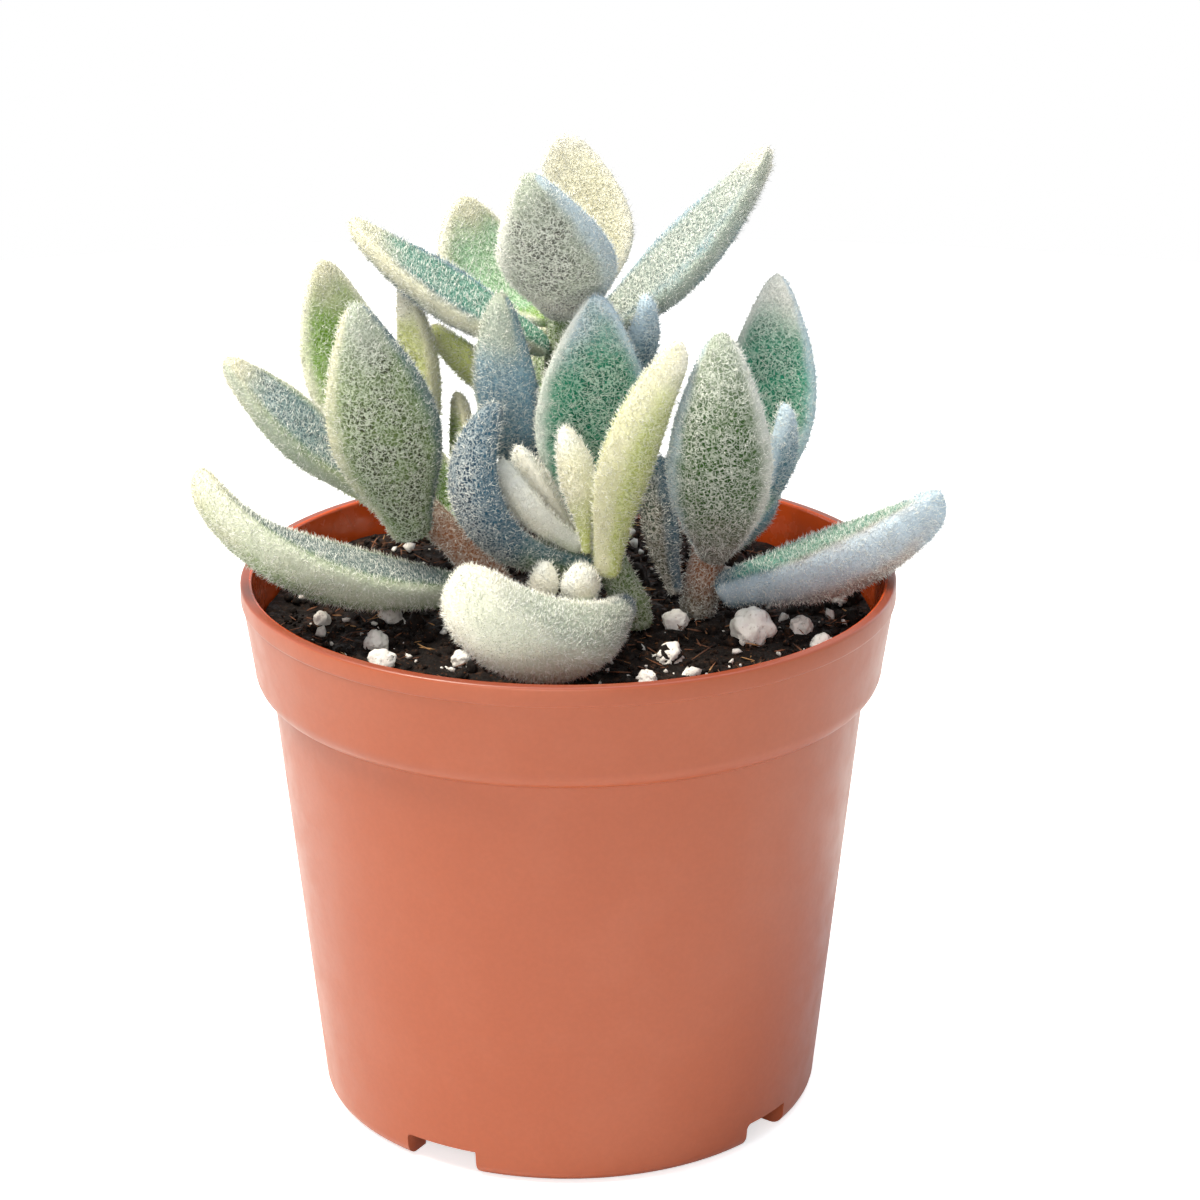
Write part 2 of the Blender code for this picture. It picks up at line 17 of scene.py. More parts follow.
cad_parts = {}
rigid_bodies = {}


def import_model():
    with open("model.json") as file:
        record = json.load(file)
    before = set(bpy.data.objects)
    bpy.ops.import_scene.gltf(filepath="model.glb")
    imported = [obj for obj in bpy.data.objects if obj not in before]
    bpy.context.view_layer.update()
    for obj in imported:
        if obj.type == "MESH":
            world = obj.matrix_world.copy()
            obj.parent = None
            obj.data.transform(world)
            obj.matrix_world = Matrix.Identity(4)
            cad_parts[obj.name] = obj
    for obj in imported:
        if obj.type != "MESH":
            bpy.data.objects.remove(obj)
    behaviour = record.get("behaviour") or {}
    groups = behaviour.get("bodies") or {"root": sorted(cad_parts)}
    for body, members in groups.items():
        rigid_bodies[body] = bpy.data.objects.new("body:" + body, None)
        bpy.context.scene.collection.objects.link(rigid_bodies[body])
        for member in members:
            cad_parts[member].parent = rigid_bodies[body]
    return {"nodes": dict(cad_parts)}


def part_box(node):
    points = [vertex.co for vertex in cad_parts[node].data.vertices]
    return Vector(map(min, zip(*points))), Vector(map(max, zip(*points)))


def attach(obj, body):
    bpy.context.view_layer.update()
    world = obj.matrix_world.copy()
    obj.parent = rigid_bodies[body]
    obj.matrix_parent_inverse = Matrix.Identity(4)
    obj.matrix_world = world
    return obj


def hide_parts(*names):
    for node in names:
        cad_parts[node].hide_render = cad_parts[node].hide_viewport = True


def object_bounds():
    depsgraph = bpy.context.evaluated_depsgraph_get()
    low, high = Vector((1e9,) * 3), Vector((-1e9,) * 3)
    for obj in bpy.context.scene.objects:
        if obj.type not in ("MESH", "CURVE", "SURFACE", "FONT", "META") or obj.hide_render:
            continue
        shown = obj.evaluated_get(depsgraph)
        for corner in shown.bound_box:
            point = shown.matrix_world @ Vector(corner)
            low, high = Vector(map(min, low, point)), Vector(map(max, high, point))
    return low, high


bl_info = {
    "name": "Potted kalanchoe",
    "version": (1, 0, 0),
    "blender": (4, 5, 0),
    "location": "3D View > Sidebar > Kalanchoe",
    "description": "Dresses a potted kalanchoe: pot, soil, perlite, stems, leaves and their hairs",
    "category": "Object",
}

for startup_object in list(bpy.data.objects):
    bpy.data.objects.remove(startup_object)

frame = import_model()
CAD_LOW, CAD_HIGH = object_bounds()
POT_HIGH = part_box("pot")[1]
SOIL_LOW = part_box("soil")[0]

MM = 0.001
CM2_IN_A_M2 = 1e4
BODY = "root"
SAME_POINT = 0.001 * MM
LEAF_NODES = sorted(name for name in frame["nodes"] if name.endswith("_leaf"))
STEM_NODES = sorted(name for name in frame["nodes"] if name.endswith("_stem"))
PERLITE_NODES = sorted(name for name in frame["nodes"] if name.startswith("perlite_"))
NODE_SLOT = {name: node.data.materials[0].name for name, node in frame["nodes"].items()}


def srgb(red, green, blue):
    """A colour of steps from 0 to 255 as linear light."""
    steps = np.array((red, green, blue)) / 255
    return tuple(np.where(steps <= 0.04045, steps / 12.92, ((steps + 0.055) / 1.055) ** 2.4))


# Felt colours: pale ones for the hairs, and deeper ones for the skin that shows between them, partly
# painted light and shade
# The bluish haze, mist, powder and slate partly paint cool shade, cream and ivory partly paint warm light,
# and the darkest ones partly paint shade between the hairs
FELT = {
    "white": srgb(236, 237, 230),
    "ivory": srgb(234, 230, 214),
    "cream": srgb(222, 218, 188),
    "milk": srgb(210, 214, 194),
    "straw": srgb(200, 208, 122),
    "lime": srgb(128, 172, 52),
    "mint": srgb(142, 192, 156),
    "sage": srgb(122, 148, 88),
    "teal": srgb(46, 150, 116),
    "mist": srgb(104, 144, 164),
    "haze": srgb(58, 96, 116),
    "powder": srgb(192, 212, 226),
    "pearl": srgb(168, 178, 160),
    "rose": srgb(176, 152, 138),
    "brown": srgb(146, 98, 70),
    "earth": srgb(98, 88, 70),
    "olive": srgb(84, 104, 58),
    "fern": srgb(60, 94, 40),
    "moss": srgb(30, 66, 16),
    "deep_teal": srgb(4, 62, 48),
    "slate": srgb(26, 42, 62),
    "plum": srgb(42, 34, 36),
    "bark": srgb(78, 48, 34),
}

# Each leaf's felt from its foot to its tip, along the margin that lies left or far and the one
# that lies right or near, and in its trough, then the skin between the hairs and how much it shows
# These colours are partly painted light and shade: warm lit margins on the left, bluish shaded ones on the
# right, darker shaded middles and feet on some leaves, pale margins partly for the sheen of hairs seen
# edge-on, and dark gaps partly for the shade between the hairs
Look = namedtuple("Look", "foot middle tip left right trough gap speckle")
LOOKS = {
    "left_front": Look("sage", "sage", "pearl", "cream", "haze", "sage", "plum", 1.0),
    "left_outer": Look("straw", "sage", "cream", "ivory", "pearl", "mist", "slate", 0.75),
    "left_rear": Look("lime", "lime", "cream", "ivory", "ivory", "lime", "moss", 0.5),
    "left_rear_narrow": Look("lime", "straw", "ivory", "ivory", "cream", "straw", "plum", 0.5),
    "left_inner": Look("lime", "straw", "cream", "straw", "cream", "lime", "moss", 0.3),
    "left_low": Look("sage", "sage", "cream", "ivory", "milk", "haze", "slate", 0.6),
    "left_low_rear": Look("lime", "sage", "cream", "cream", "cream", "lime", "moss", 0.6),
    "back_front": Look("ivory", "pearl", "pearl", "white", "powder", "pearl", "plum", 1.0),
    "back_rear": Look("cream", "cream", "ivory", "white", "ivory", "cream", "plum", 0.35),
    "back_right": Look("haze", "mist", "ivory", "powder", "pearl", "pearl", "slate", 0.6),
    "back_rear_left": Look("lime", "sage", "cream", "ivory", "ivory", "mint", "moss", 0.4),
    "back_left": Look("teal", "haze", "cream", "mist", "cream", "teal", "deep_teal", 0.6),
    "back_small_right": Look("haze", "mist", "powder", "powder", "mist", "mist", "slate", 0.6),
    "back_low_left": Look("lime", "straw", "cream", "cream", "straw", "lime", "moss", 0.2),
    "back_low_front": Look("haze", "mist", "pearl", "pearl", "mist", "mist", "slate", 0.3),
    "back_low_rear": Look("sage", "sage", "cream", "cream", "powder", "sage", "moss", 0.6),
    "back_mid_rear": Look("sage", "sage", "cream", "cream", "powder", "teal", "moss", 0.6),
    "back_low_right": Look("sage", "mist", "powder", "mist", "powder", "teal", "slate", 0.6),
    "front_rear": Look("teal", "teal", "powder", "white", "powder", "teal", "deep_teal", 0.9),
    "front_left": Look("sage", "haze", "haze", "cream", "haze", "haze", "slate", 1.0),
    "front_right": Look("straw", "straw", "ivory", "rose", "cream", "straw", "olive", 0.5),
    "front_low": Look("haze", "milk", "ivory", "ivory", "milk", "pearl", "sage", 0.15),
    "young_left": Look("milk", "ivory", "white", "white", "white", "white", "olive", 0.3),
    "young_rear": Look("cream", "ivory", "white", "white", "ivory", "ivory", "olive", 0.3),
    "young_top": Look("straw", "cream", "white", "white", "ivory", "straw", "olive", 0.3),
    "bud_left": Look("mint", "ivory", "white", "white", "ivory", "straw", "olive", 0.2),
    "bud_right": Look("mint", "ivory", "white", "white", "ivory", "straw", "olive", 0.2),
    "right_front": Look("earth", "fern", "pearl", "powder", "white", "fern", "moss", 1.0),
    "right_rear": Look("mint", "teal", "white", "white", "powder", "teal", "deep_teal", 0.8),
    "right_small": Look("mint", "mist", "powder", "powder", "powder", "teal", "deep_teal", 0.6),
    "right_inner": Look("earth", "earth", "haze", "haze", "haze", "haze", "deep_teal", 0.9),
    "right_low": Look("haze", "rose", "powder", "powder", "powder", "teal", "haze", 0.5),
    "right_low_rear": Look("sage", "sage", "powder", "powder", "mist", "teal", "slate", 0.6),
}


def stem_look(foot, middle, tip, gap, speckle):
    """A stem has no margins and no trough, so they are given the felt of its middle."""
    return Look(foot, middle, tip, middle, middle, middle, gap, speckle)


STEM_LOOKS = {
    "left": stem_look("brown", "brown", "rose", "bark", 0.35),
    "back": stem_look("sage", "sage", "sage", "moss", 0.9),
    "front": stem_look("sage", "sage", "pearl", "moss", 0.8),
    "right": stem_look("earth", "brown", "rose", "bark", 0.5),
    "bud": stem_look("mint", "mint", "mint", "moss", 0.5),
}


def colour_setting(name, description, default):
    return bpy.props.FloatVectorProperty(
        name=name, description=description, default=default, subtype="COLOR", min=0, max=1, size=3
    )


def length_setting(name, description, default):
    return bpy.props.FloatProperty(
        name=name, description=description, default=default, unit="LENGTH", min=0, precision=5
    )


def angle_setting(name, description, degrees):
    return bpy.props.FloatProperty(
        name=name,
        description=description,
        default=math.radians(degrees),
        subtype="ANGLE",
        unit="ROTATION",
    )


def count_setting(name, description, default):
    return bpy.props.IntProperty(name=name, description=description, default=default, min=0)


def share_setting(name, description, default):
    return bpy.props.FloatProperty(
        name=name, description=description, default=default, subtype="FACTOR", min=0, max=1
    )


class PotSettings(bpy.types.PropertyGroup):
    """Sizes and colours of the plastic pot"""

    lip_depth: length_setting("Lip depth", "Height of the lip at the pot's mouth", 2.0 * MM)
    lip_proud: length_setting("Lip proud", "How far the lip stands out from the band", 0.22 * MM)
    lip_edge: length_setting("Lip edge", "Radius of the lip's rounded edges", 0.3 * MM)
    band_depth: length_setting("Band depth", "Foot of the plain band below the mouth", 9.6 * MM)
    band_radius: length_setting("Band radius", "Outer radius at the foot of the band", 31.2 * MM)
    band_turn: length_setting("Band turn", "Height of the band's rounded lower edge", 0.9 * MM)
    shoulder_depth: length_setting("Shoulder depth", "Shoulder below the mouth", 10.9 * MM)
    shoulder_radius: length_setting("Shoulder radius", "Outer radius under the band", 29.6 * MM)
    base_radius: length_setting("Base radius", "Outer radius at the foot", 25.3 * MM)
    base_rounding: length_setting("Base rounding", "Radius of the foot's lower edge", 1.6 * MM)
    wall: length_setting("Wall", "Thickness of the wall", 0.95 * MM)
    foot_ring: length_setting("Foot ring", "Width of the ring that the pot stands on", 3.2 * MM)
    floor_underside: length_setting("Floor underside", "Height of the floor's underside", 3.4 * MM)
    floor_thickness: length_setting("Floor thickness", "Thickness of the floor", 1.0 * MM)
    notch_height: length_setting("Notch height", "Height of the slots in the foot ring", 2.7 * MM)
    notch_corner: length_setting("Notch corner", "Radius of the slots' corners", 0.5 * MM)
    drain_radius: length_setting("Drain radius", "Radius of each drain hole", 2.2 * MM)
    drain_ring: length_setting("Drain ring", "Radius of the ring of drain holes", 13.0 * MM)
    sides: count_setting("Sides", "Steps round the pot", 160)
    plastic: colour_setting("Plastic", "Terracotta colour of the plastic", srgb(160, 80, 49))
    faded: colour_setting("Faded plastic", "Paler, dustier patches", srgb(164, 86, 57))
    # The rim's darker top face is painted shade
    painted_rim_shade: colour_setting("Rim", "Darker colour of the rim's top face", srgb(128, 52, 30))
    # The inner wall's deeper, more saturated orange partly paints light glowing through the thin
    # translucent wall
    inside: colour_setting("Inner wall", "Deeper, wet colour inside", srgb(196, 76, 28))


class SoilSettings(bpy.types.PropertyGroup):
    """Sizes and colours of the potting soil"""

    level: length_setting("Level", "Height of the soil at the pot's middle", 49.4 * MM)
    crumbs: count_setting("Crumbs", "Number of small soil crumbs", 3000)
    clods: count_setting("Clods", "Number of larger soil clods", 170)
    fibres: count_setting("Fibres", "Number of root and bark fibres", 700)
    grains: count_setting("Perlite grains", "Number of small perlite grains", 360)
    drops: count_setting("Drops", "Number of water drops on the inner wall", 150)
    dark: colour_setting("Dark soil", "Colour of moist peat", srgb(18, 11, 8))
    light: colour_setting("Light soil", "Colour of drier crumbs", srgb(82, 54, 36))
    fibre: colour_setting("Fibre", "Colour of bark and root fibres", srgb(132, 82, 52))
    perlite: colour_setting("Perlite", "Colour of perlite", srgb(238, 234, 228))
    perlite_pit: colour_setting("Perlite pits", "Colour in the pits", srgb(186, 168, 160))


class LeafSettings(bpy.types.PropertyGroup):
    """Sizes of the leaves' felt"""

    hairs: count_setting("Hairs", "Hairs on each square centimetre of leaf", 2000)
    stem_hairs: count_setting("Stem hairs", "Hairs on each square centimetre of stem", 1500)
    length: length_setting("Hair length", "Usual length of a hair", 0.58 * MM)
    breadth: length_setting("Hair breadth", "Breadth of a hair at its root", 0.08 * MM)
    lean: angle_setting("Hair lean", "How far a hair leans from upright", 48)
    combed: share_setting("Combed", "How much the hairs lean to the leaf's tip", 0.3)
    thinning: share_setting("Thinning", "Share of the hairs missing where skin shows", 0.5)
    seed: count_setting("Seed", "Seed for the hairs' places", 7)
    hair_white: colour_setting("Hair white", "Colour of the hairs' tips", srgb(250, 250, 244))


class StageSettings(bpy.types.PropertyGroup):
    """Camera, floor and lights"""

    distance: length_setting("Camera distance", "Camera's place in front of the pot", 331.5 * MM)
    height: length_setting("Camera height", "Camera's height above the floor", 170.2 * MM)
    pitch: angle_setting("Camera pitch", "How far the camera looks down", 19.67)
    yaw: angle_setting("Camera yaw", "How far the camera turns to the right", 0.54)
    lens: bpy.props.FloatProperty(
        name="Lens", description="Focal length in millimetres", default=106.0, subtype="DISTANCE_CAMERA"
    )
    floor: colour_setting("Floor", "Colour of the floor", srgb(248, 248, 249))
    glow: share_setting("Floor glow", "Light that the camera sees from the floor itself", 0.6)
    ambient: bpy.props.FloatProperty(
        name="Ambient light", description="Strength of the light from all round", default=0.36, min=0
    )


def deselect_all():
    if bpy.context.mode != "OBJECT":
        bpy.ops.object.mode_set(mode="OBJECT")
    bpy.ops.object.select_all(action="DESELECT")


def work_on(obj):
    """Makes this the one selected and active object."""
    deselect_all()
    obj.select_set(True)
    bpy.context.view_layer.objects.active = obj


def apply_modifiers(obj):
    work_on(obj)
    for modifier in list(obj.modifiers):
        bpy.ops.object.modifier_apply(modifier=modifier.name)


def subdivide(obj):
    """Rounds a coarse mesh and keeps the finer one."""
    smooth = obj.modifiers.new("Smooth", "SUBSURF")
    smooth.levels = smooth.render_levels = 2
    apply_modifiers(obj)


def smooth_all(obj):
    for face in obj.data.polygons:
        face.use_smooth = True


def smooth_under(obj, degrees):
    """Smooth shading, with a sharp edge where faces meet at more than this angle."""
    work_on(obj)
    bpy.ops.object.shade_smooth_by_angle(angle=math.radians(degrees))


def linked(name, data):
    """A new object in the scene that shows this mesh, light or camera."""
    obj = bpy.data.objects.new(name, data)
    bpy.context.scene.collection.objects.link(obj)
    return obj


def vertex_places(mesh):
    return np.array([vert.co for vert in mesh.vertices], float)


def node_copy(node, name):
    """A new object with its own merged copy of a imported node's mesh."""
    obj = linked(name, frame["nodes"][node].data.copy())
    obj.data.materials.clear()
    work_on(obj)
    bpy.ops.object.mode_set(mode="EDIT")
    bpy.ops.mesh.select_all(action="SELECT")
    bpy.ops.mesh.customdata_custom_splitnormals_clear()
    bpy.ops.mesh.remove_doubles(threshold=SAME_POINT)
    bpy.ops.object.mode_set(mode="OBJECT")
    return obj


def dressed(obj, material, slot, *nodes):
    """Finishes a piece: its material, the nodes it stands for and the body it rides on. The slot is not
    used.
    """
    obj.data.materials.clear()
    obj.data.materials.append(material)
    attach(obj, BODY)
    if nodes:
        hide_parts(*nodes)


class Shader:
    """A material's node tree, built by short calls that each add one node."""

    def __init__(self, name):
        self.material = bpy.data.materials.new(name)
        self.material.use_nodes = True
        self.tree = self.material.node_tree
        self.surface = self.tree.nodes["Principled BSDF"]

    def node(self, kind, settings=None, **values):
        """Adds a node. Values go to its sockets by name, as numbers or links."""
        made = self.tree.nodes.new(kind)
        for key, value in (settings or {}).items():
            setattr(made, key, value)
        for key, value in values.items():
            self.feed(made.inputs[key.replace("_", " ")], value)
        return made

    def feed(self, socket, value):
        if isinstance(value, bpy.types.NodeSocket):
            self.tree.links.new(value, socket)
        elif hasattr(value, "__len__") and len(value) == 3 and socket.type == "RGBA":
            socket.default_value = (*value, 1.0)
        else:
            socket.default_value = value

    def place(self):
        return self.node("ShaderNodeTexCoord").outputs["Object"]

    def attribute(self, name, output="Fac"):
        return self.node("ShaderNodeAttribute", {"attribute_name": name}).outputs[output]

    def noise(self, size, detail=3.0, roughness=0.55, distortion=0.0):
        """Noise whose spots are about this size in metres."""
        made = self.node(
            "ShaderNodeTexNoise",
            Vector=self.place(),
            Scale=1 / size,
            Detail=detail,
            Roughness=roughness,
            Distortion=distortion,
        )
        return made.outputs["Fac"]

    def cells(self, size, feature="F1", place=None):
        """The distance from a cell's middle or, with another feature, from its edge."""
        made = self.node(
            "ShaderNodeTexVoronoi", {"feature": feature}, Vector=place or self.place(), Scale=1 / size
        )
        return made.outputs["Distance"]

    def between(self, value, low, high, bottom=0.0, top=1.0):
        """The value's place from low to high, mapped to a range from bottom to top."""
        made = self.node(
            "ShaderNodeMapRange",
            {"interpolation_type": "SMOOTHSTEP"},
            Value=value,
            From_Min=low,
            From_Max=high,
            To_Min=bottom,
            To_Max=top,
        )
        return made.outputs["Result"]

    def mix(self, share, first, second, mode="MIX"):
        """Two colours mixed. The node takes colours at its sockets 6 and 7, and gives one at 2."""
        made = self.node("ShaderNodeMix", {"data_type": "RGBA", "blend_type": mode})
        for number, value in ((0, share), (6, first), (7, second)):
            self.feed(made.inputs[number], value)
        return made.outputs[2]

    def math(self, operation, *values):
        made = self.node("ShaderNodeMath", {"operation": operation})
        for socket, value in zip(made.inputs, values):
            self.feed(socket, value)
        return made.outputs[0]

    def bump(self, height, distance, strength):
        made = self.node("ShaderNodeBump", Height=height, Distance=distance, Strength=strength)
        return made.outputs["Normal"]

    def finish(self, colour, roughness, normal=None, **constants):
        """Feeds the surface. Constants are set on the shader's own sockets."""
        self.feed(self.surface.inputs["Base Color"], colour)
        self.feed(self.surface.inputs["Roughness"], roughness)
        if normal:
            self.feed(self.surface.inputs["Normal"], normal)
        for key, value in constants.items():
            self.feed(self.surface.inputs[key.replace("_", " ")], value)
        return self.material


def pot_plastic(settings):
    """Satin terracotta plastic: faint paler patches, painted shade darkening the rim's top face, and a
    slight orange peel.
    """
    s = Shader("satin terracotta plastic")
    patches = s.between(s.noise(9 * MM, 4.0, 0.6), 0.42, 0.7, 0.0, 0.55)
    colour = s.mix(patches, settings.plastic, settings.faded)
    height = s.node("ShaderNodeSeparateXYZ", Vector=s.place()).outputs["Z"]
    # Painted shade: the rim's top face is darkened
    painted_rim_shade = s.between(height, POT_HIGH.z - 0.22 * MM, POT_HIGH.z - 0.05 * MM, 0.0, 0.8)
    colour = s.mix(painted_rim_shade, colour, settings.painted_rim_shade)
    specks = s.between(s.noise(0.5 * MM, 2.0), 0.3, 0.75, 0.965, 1.02)
    grey = s.node("ShaderNodeCombineColor", Red=specks, Green=specks, Blue=specks).outputs[0]
    colour = s.mix(1.0, colour, grey, "MULTIPLY")
    roughness = s.between(s.noise(3.5 * MM, 4.0, 0.6), 0.3, 0.75, 0.3, 0.4)
    peel = s.bump(s.noise(0.9 * MM, 2.0), 0.02 * MM, 0.35)
    return s.finish(colour, roughness, peel, Specular_IOR_Level=0.5, IOR=1.47)


def wet_plastic(settings):
    """The inside of the wall: deeper in colour, partly painted glow of light through the thin translucent
    wall, with a film of water and soil smears.
    """
    s = Shader("wet inner wall")
    streaks = s.between(s.noise(2.2 * MM, 4.0, 0.65, 0.6), 0.48, 0.72, 0.0, 0.5)
    colour = s.mix(streaks, settings.inside, srgb(122, 58, 34))
    roughness = s.between(s.noise(1.6 * MM, 3.0), 0.35, 0.7, 0.12, 0.34)
    film = s.bump(s.noise(0.7 * MM, 3.0), 0.05 * MM, 0.5)
    return s.finish(colour, roughness, film, IOR=1.4)


def soil_finish(settings, name, light_share):
    """Moist peat: near black, browner in random patches where it dries, with a few glints of water."""
    s = Shader(name)
    patches = s.between(s.noise(1.5 * MM, 5.0, 0.7), 0.5, 0.72, 0.0, light_share)
    colour = s.mix(patches, settings.dark, settings.light)
    flecks = s.between(s.noise(0.35 * MM, 2.0), 0.63, 0.72, 0.0, 0.4)
    colour = s.mix(flecks, colour, settings.fibre)
    roughness = s.between(s.noise(0.8 * MM, 3.0), 0.35, 0.6, 0.5, 0.95)
    coarse = s.bump(s.noise(0.6 * MM, 5.0, 0.7), 0.35 * MM, 0.9)
    return s.finish(colour, roughness, coarse, Specular_IOR_Level=0.2)


def fibre_finish(settings):
    """Bark and root fibres, from reddish brown to straw."""
    s = Shader("bark fibre")
    bark = s.between(s.noise(1.8 * MM, 3.0), 0.35, 0.68)
    colour = s.mix(bark, settings.fibre, srgb(64, 40, 28))
    straw = s.between(s.noise(4.0 * MM, 1.0), 0.56, 0.66, 0.0, 0.8)
    colour = s.mix(straw, colour, srgb(176, 132, 84))
    roughness = s.between(s.noise(0.6 * MM), 0.3, 0.7, 0.5, 0.85)
    return s.finish(colour, roughness, s.bump(s.noise(0.2 * MM, 3.0), 0.05 * MM, 0.6))


def perlite_finish(settings):
    """Puffed volcanic glass: chalk white, pitted, with faint rosy stains and darker, greyer pits."""
    s = Shader("puffed perlite")
    stain = s.between(s.noise(1.5 * MM, 3.0), 0.45, 0.75, 0.0, 0.55)
    colour = s.mix(stain, settings.perlite, srgb(214, 200, 200))
    pits = s.between(s.cells(0.42 * MM), 0.08, 0.3, 1.0, 0.0)
    colour = s.mix(s.math("MULTIPLY", pits, 0.55), colour, settings.perlite_pit)
    crust = s.math("ADD", s.noise(0.3 * MM, 4.0, 0.7), s.math("MULTIPLY", pits, -0.6))
    rough = s.between(s.noise(0.5 * MM), 0.3, 0.7, 0.7, 0.95)
    return s.finish(colour, rough, s.bump(crust, 0.16 * MM, 0.8), Specular_IOR_Level=0.3)


def water_finish():
    s = Shader("water drop")
    # The clear drop's pale orange colour paints the wall seen through it and its bright glint
    tone = s.mix(s.noise(1.0 * MM), srgb(232, 160, 126), srgb(250, 214, 190))
    ripple = s.bump(s.noise(0.5 * MM), 0.01 * MM, 0.2)
    return s.finish(tone, s.between(s.noise(0.7 * MM), 0.3, 0.7, 0.03, 0.09), ripple, IOR=1.33)


def skin_finish():
    """Leaf skin: a net of pale curled hairs, open over the middle where dark skin shows; that dark gap
    colour is partly painted shade between the hairs.
    """
    s = Shader("felted leaf skin")
    felt = s.attribute("felt", "Color")
    gap = s.attribute("gap", "Color")
    speckle = s.attribute("speckle")
    place = s.place()
    stir = s.node("ShaderNodeTexNoise", Vector=place, Scale=1 / (0.5 * MM), Detail=2.0)
    moved = s.node("ShaderNodeVectorMath", {"operation": "SCALE"}, Scale=0.8 * MM)
    s.feed(moved.inputs[0], stir.outputs["Color"])
    curled = s.node("ShaderNodeVectorMath", {"operation": "ADD"})
    s.feed(curled.inputs[0], place)
    s.feed(curled.inputs[1], moved.outputs[0])
    edges = s.cells(0.5 * MM, "DISTANCE_TO_EDGE", curled.outputs[0])
    net = s.math("MAXIMUM", s.between(edges, 0.0, 0.17, 1.0, 0.0), curled_threads(s, 0.6 * MM))
    wool = s.noise(0.2 * MM, 2.0, 0.6, 0.8)
    patches = s.between(s.noise(2.2 * MM, 3.0, 0.6), 0.36, 0.58, 0.55, 1.0)
    share = s.math("MULTIPLY", patches, speckle)
    bare = s.math("MULTIPLY", s.math("SUBTRACT", 1.0, net), s.between(wool, 0.34, 0.5, 0.5, 1.0))
    pale = s.math("MULTIPLY", net, s.math("MULTIPLY_ADD", share, 0.4, 0.15))
    # The gap colour under the net is partly painted shade between the hairs
    colour = s.mix(pale, s.mix(s.math("MULTIPLY", bare, share), felt, gap), FELT["white"])
    raised = s.math("ADD", s.math("MULTIPLY", net, 0.6), wool)
    return s.finish(
        colour,
        s.between(wool, 0.3, 0.7, 0.75, 1.0),
        s.bump(raised, 0.1 * MM, 0.8),
        Specular_IOR_Level=0.15,
        Sheen_Weight=0.2,
        Sheen_Roughness=0.5,
        Sheen_Tint=(1.0, 1.0, 1.0),
    )


def curled_threads(shader, size):
    """Thin curled lines, one where the noise passes its middle value, zero between them."""
    away = shader.math("ABSOLUTE", shader.math("SUBTRACT", shader.noise(size, 1.0, 0.5, 1.6), 0.5))
    return shader.between(away, 0.004, 0.03, 1.0, 0.0)


def hair_finish(settings):
    """Short silvery hairs: tinted by the leaf at the root, with the felt's painted light and shade, and
    nearly white at the tip.
    """
    s = Shader("silvery leaf hair")
    tint = s.attribute("felt", "Color")
    reach = s.attribute("reach")
    paler = s.attribute("paler")
    white = s.between(s.math("ADD", s.math("MULTIPLY", reach, 0.5), paler), 0.4, 1.05, 0.1, 1.0)
    colour = s.mix(white, tint, settings.hair_white)
    rough = s.between(s.noise(0.4 * MM), 0.3, 0.7, 0.6, 0.85)
    fluff = s.bump(s.noise(0.1 * MM, 2.0), 0.01 * MM, 0.3)
    return s.finish(colour, rough, fluff, Specular_IOR_Level=0.2)


def wall_radius(settings, height):
    """The radius of the pot's outer wall below the lip, at a height above the rounded foot."""
    top = POT_HIGH.z
    heights = (
        settings.base_rounding,
        top - settings.shoulder_depth,
        top - settings.band_depth,
        top - settings.lip_depth,
    )
    mouth = POT_HIGH.x - settings.lip_proud
    radii = (settings.base_radius, settings.shoulder_radius, settings.band_radius, mouth)
    return float(np.interp(height, heights, radii))


def arc(radius, middle, start, end, steps):
    """Points on an arc in the profile's plane, between two angles in degrees."""
    angles = np.radians(np.linspace(start, end, steps + 1))
    return [(middle[0] + radius * math.cos(a), middle[1] + radius * math.sin(a)) for a in angles]


# Radii of the two rings of points on the floor's top and underside
FLOOR_RINGS = (4 * MM, 16 * MM)
# How far the band's first point lies under the lip, so that the lip's lower edge stays crisp
LIP_STEP = 0.15 * MM


def pot_profile(settings):
    """Radius and height from the middle of the floor, up the inner wall, over the lip and down to
    the foot ring and the middle of the floor's underside."""
    top = POT_HIGH.z
    floor_top = settings.floor_underside + settings.floor_thickness
    shoulder = top - settings.shoulder_depth
    band_foot = top - settings.band_depth
    band_top = top - settings.lip_depth
    edge = settings.lip_edge
    lip = POT_HIGH.x - edge
    points = [(radius, floor_top) for radius in FLOOR_RINGS]
    for height in (floor_top, *np.linspace(floor_top, shoulder, 6)[1:], band_foot, top - edge):
        points.append((wall_radius(settings, height) - settings.wall, height))
    points += arc(edge, (wall_radius(settings, top) - settings.wall + edge, top - edge), 160, 90, 3)
    points += arc(edge, (lip, top - edge), 90, 0, 4)
    points += arc(edge, (lip, band_top + edge), 0, -70, 3)
    points.append((wall_radius(settings, band_top), band_top - LIP_STEP))
    start = wall_radius(settings, band_foot + settings.band_turn)
    turn_height = settings.shoulder_depth - settings.band_depth + settings.band_turn
    points.append((wall_radius(settings, (band_top + band_foot) / 2), (band_top + band_foot) / 2))
    for share in np.sin(np.radians(np.linspace(0, 90, 9))):
        out = settings.shoulder_radius + (start - settings.shoulder_radius) * math.sqrt(1 - share**2)
        points.append((out, band_foot + settings.band_turn - turn_height * share))
    for height in np.linspace(shoulder, settings.base_rounding, 8)[1:-1]:
        points.append((wall_radius(settings, height), height))
    foot_middle = (settings.base_radius - settings.base_rounding, settings.base_rounding)
    points += arc(settings.base_rounding, foot_middle, 0, -90, 8)
    ring = settings.base_radius - settings.foot_ring
    points += [(ring, 0.0), (ring, settings.floor_underside)]
    points += [(radius, settings.floor_underside) for radius in reversed(FLOOR_RINGS)]
    return points


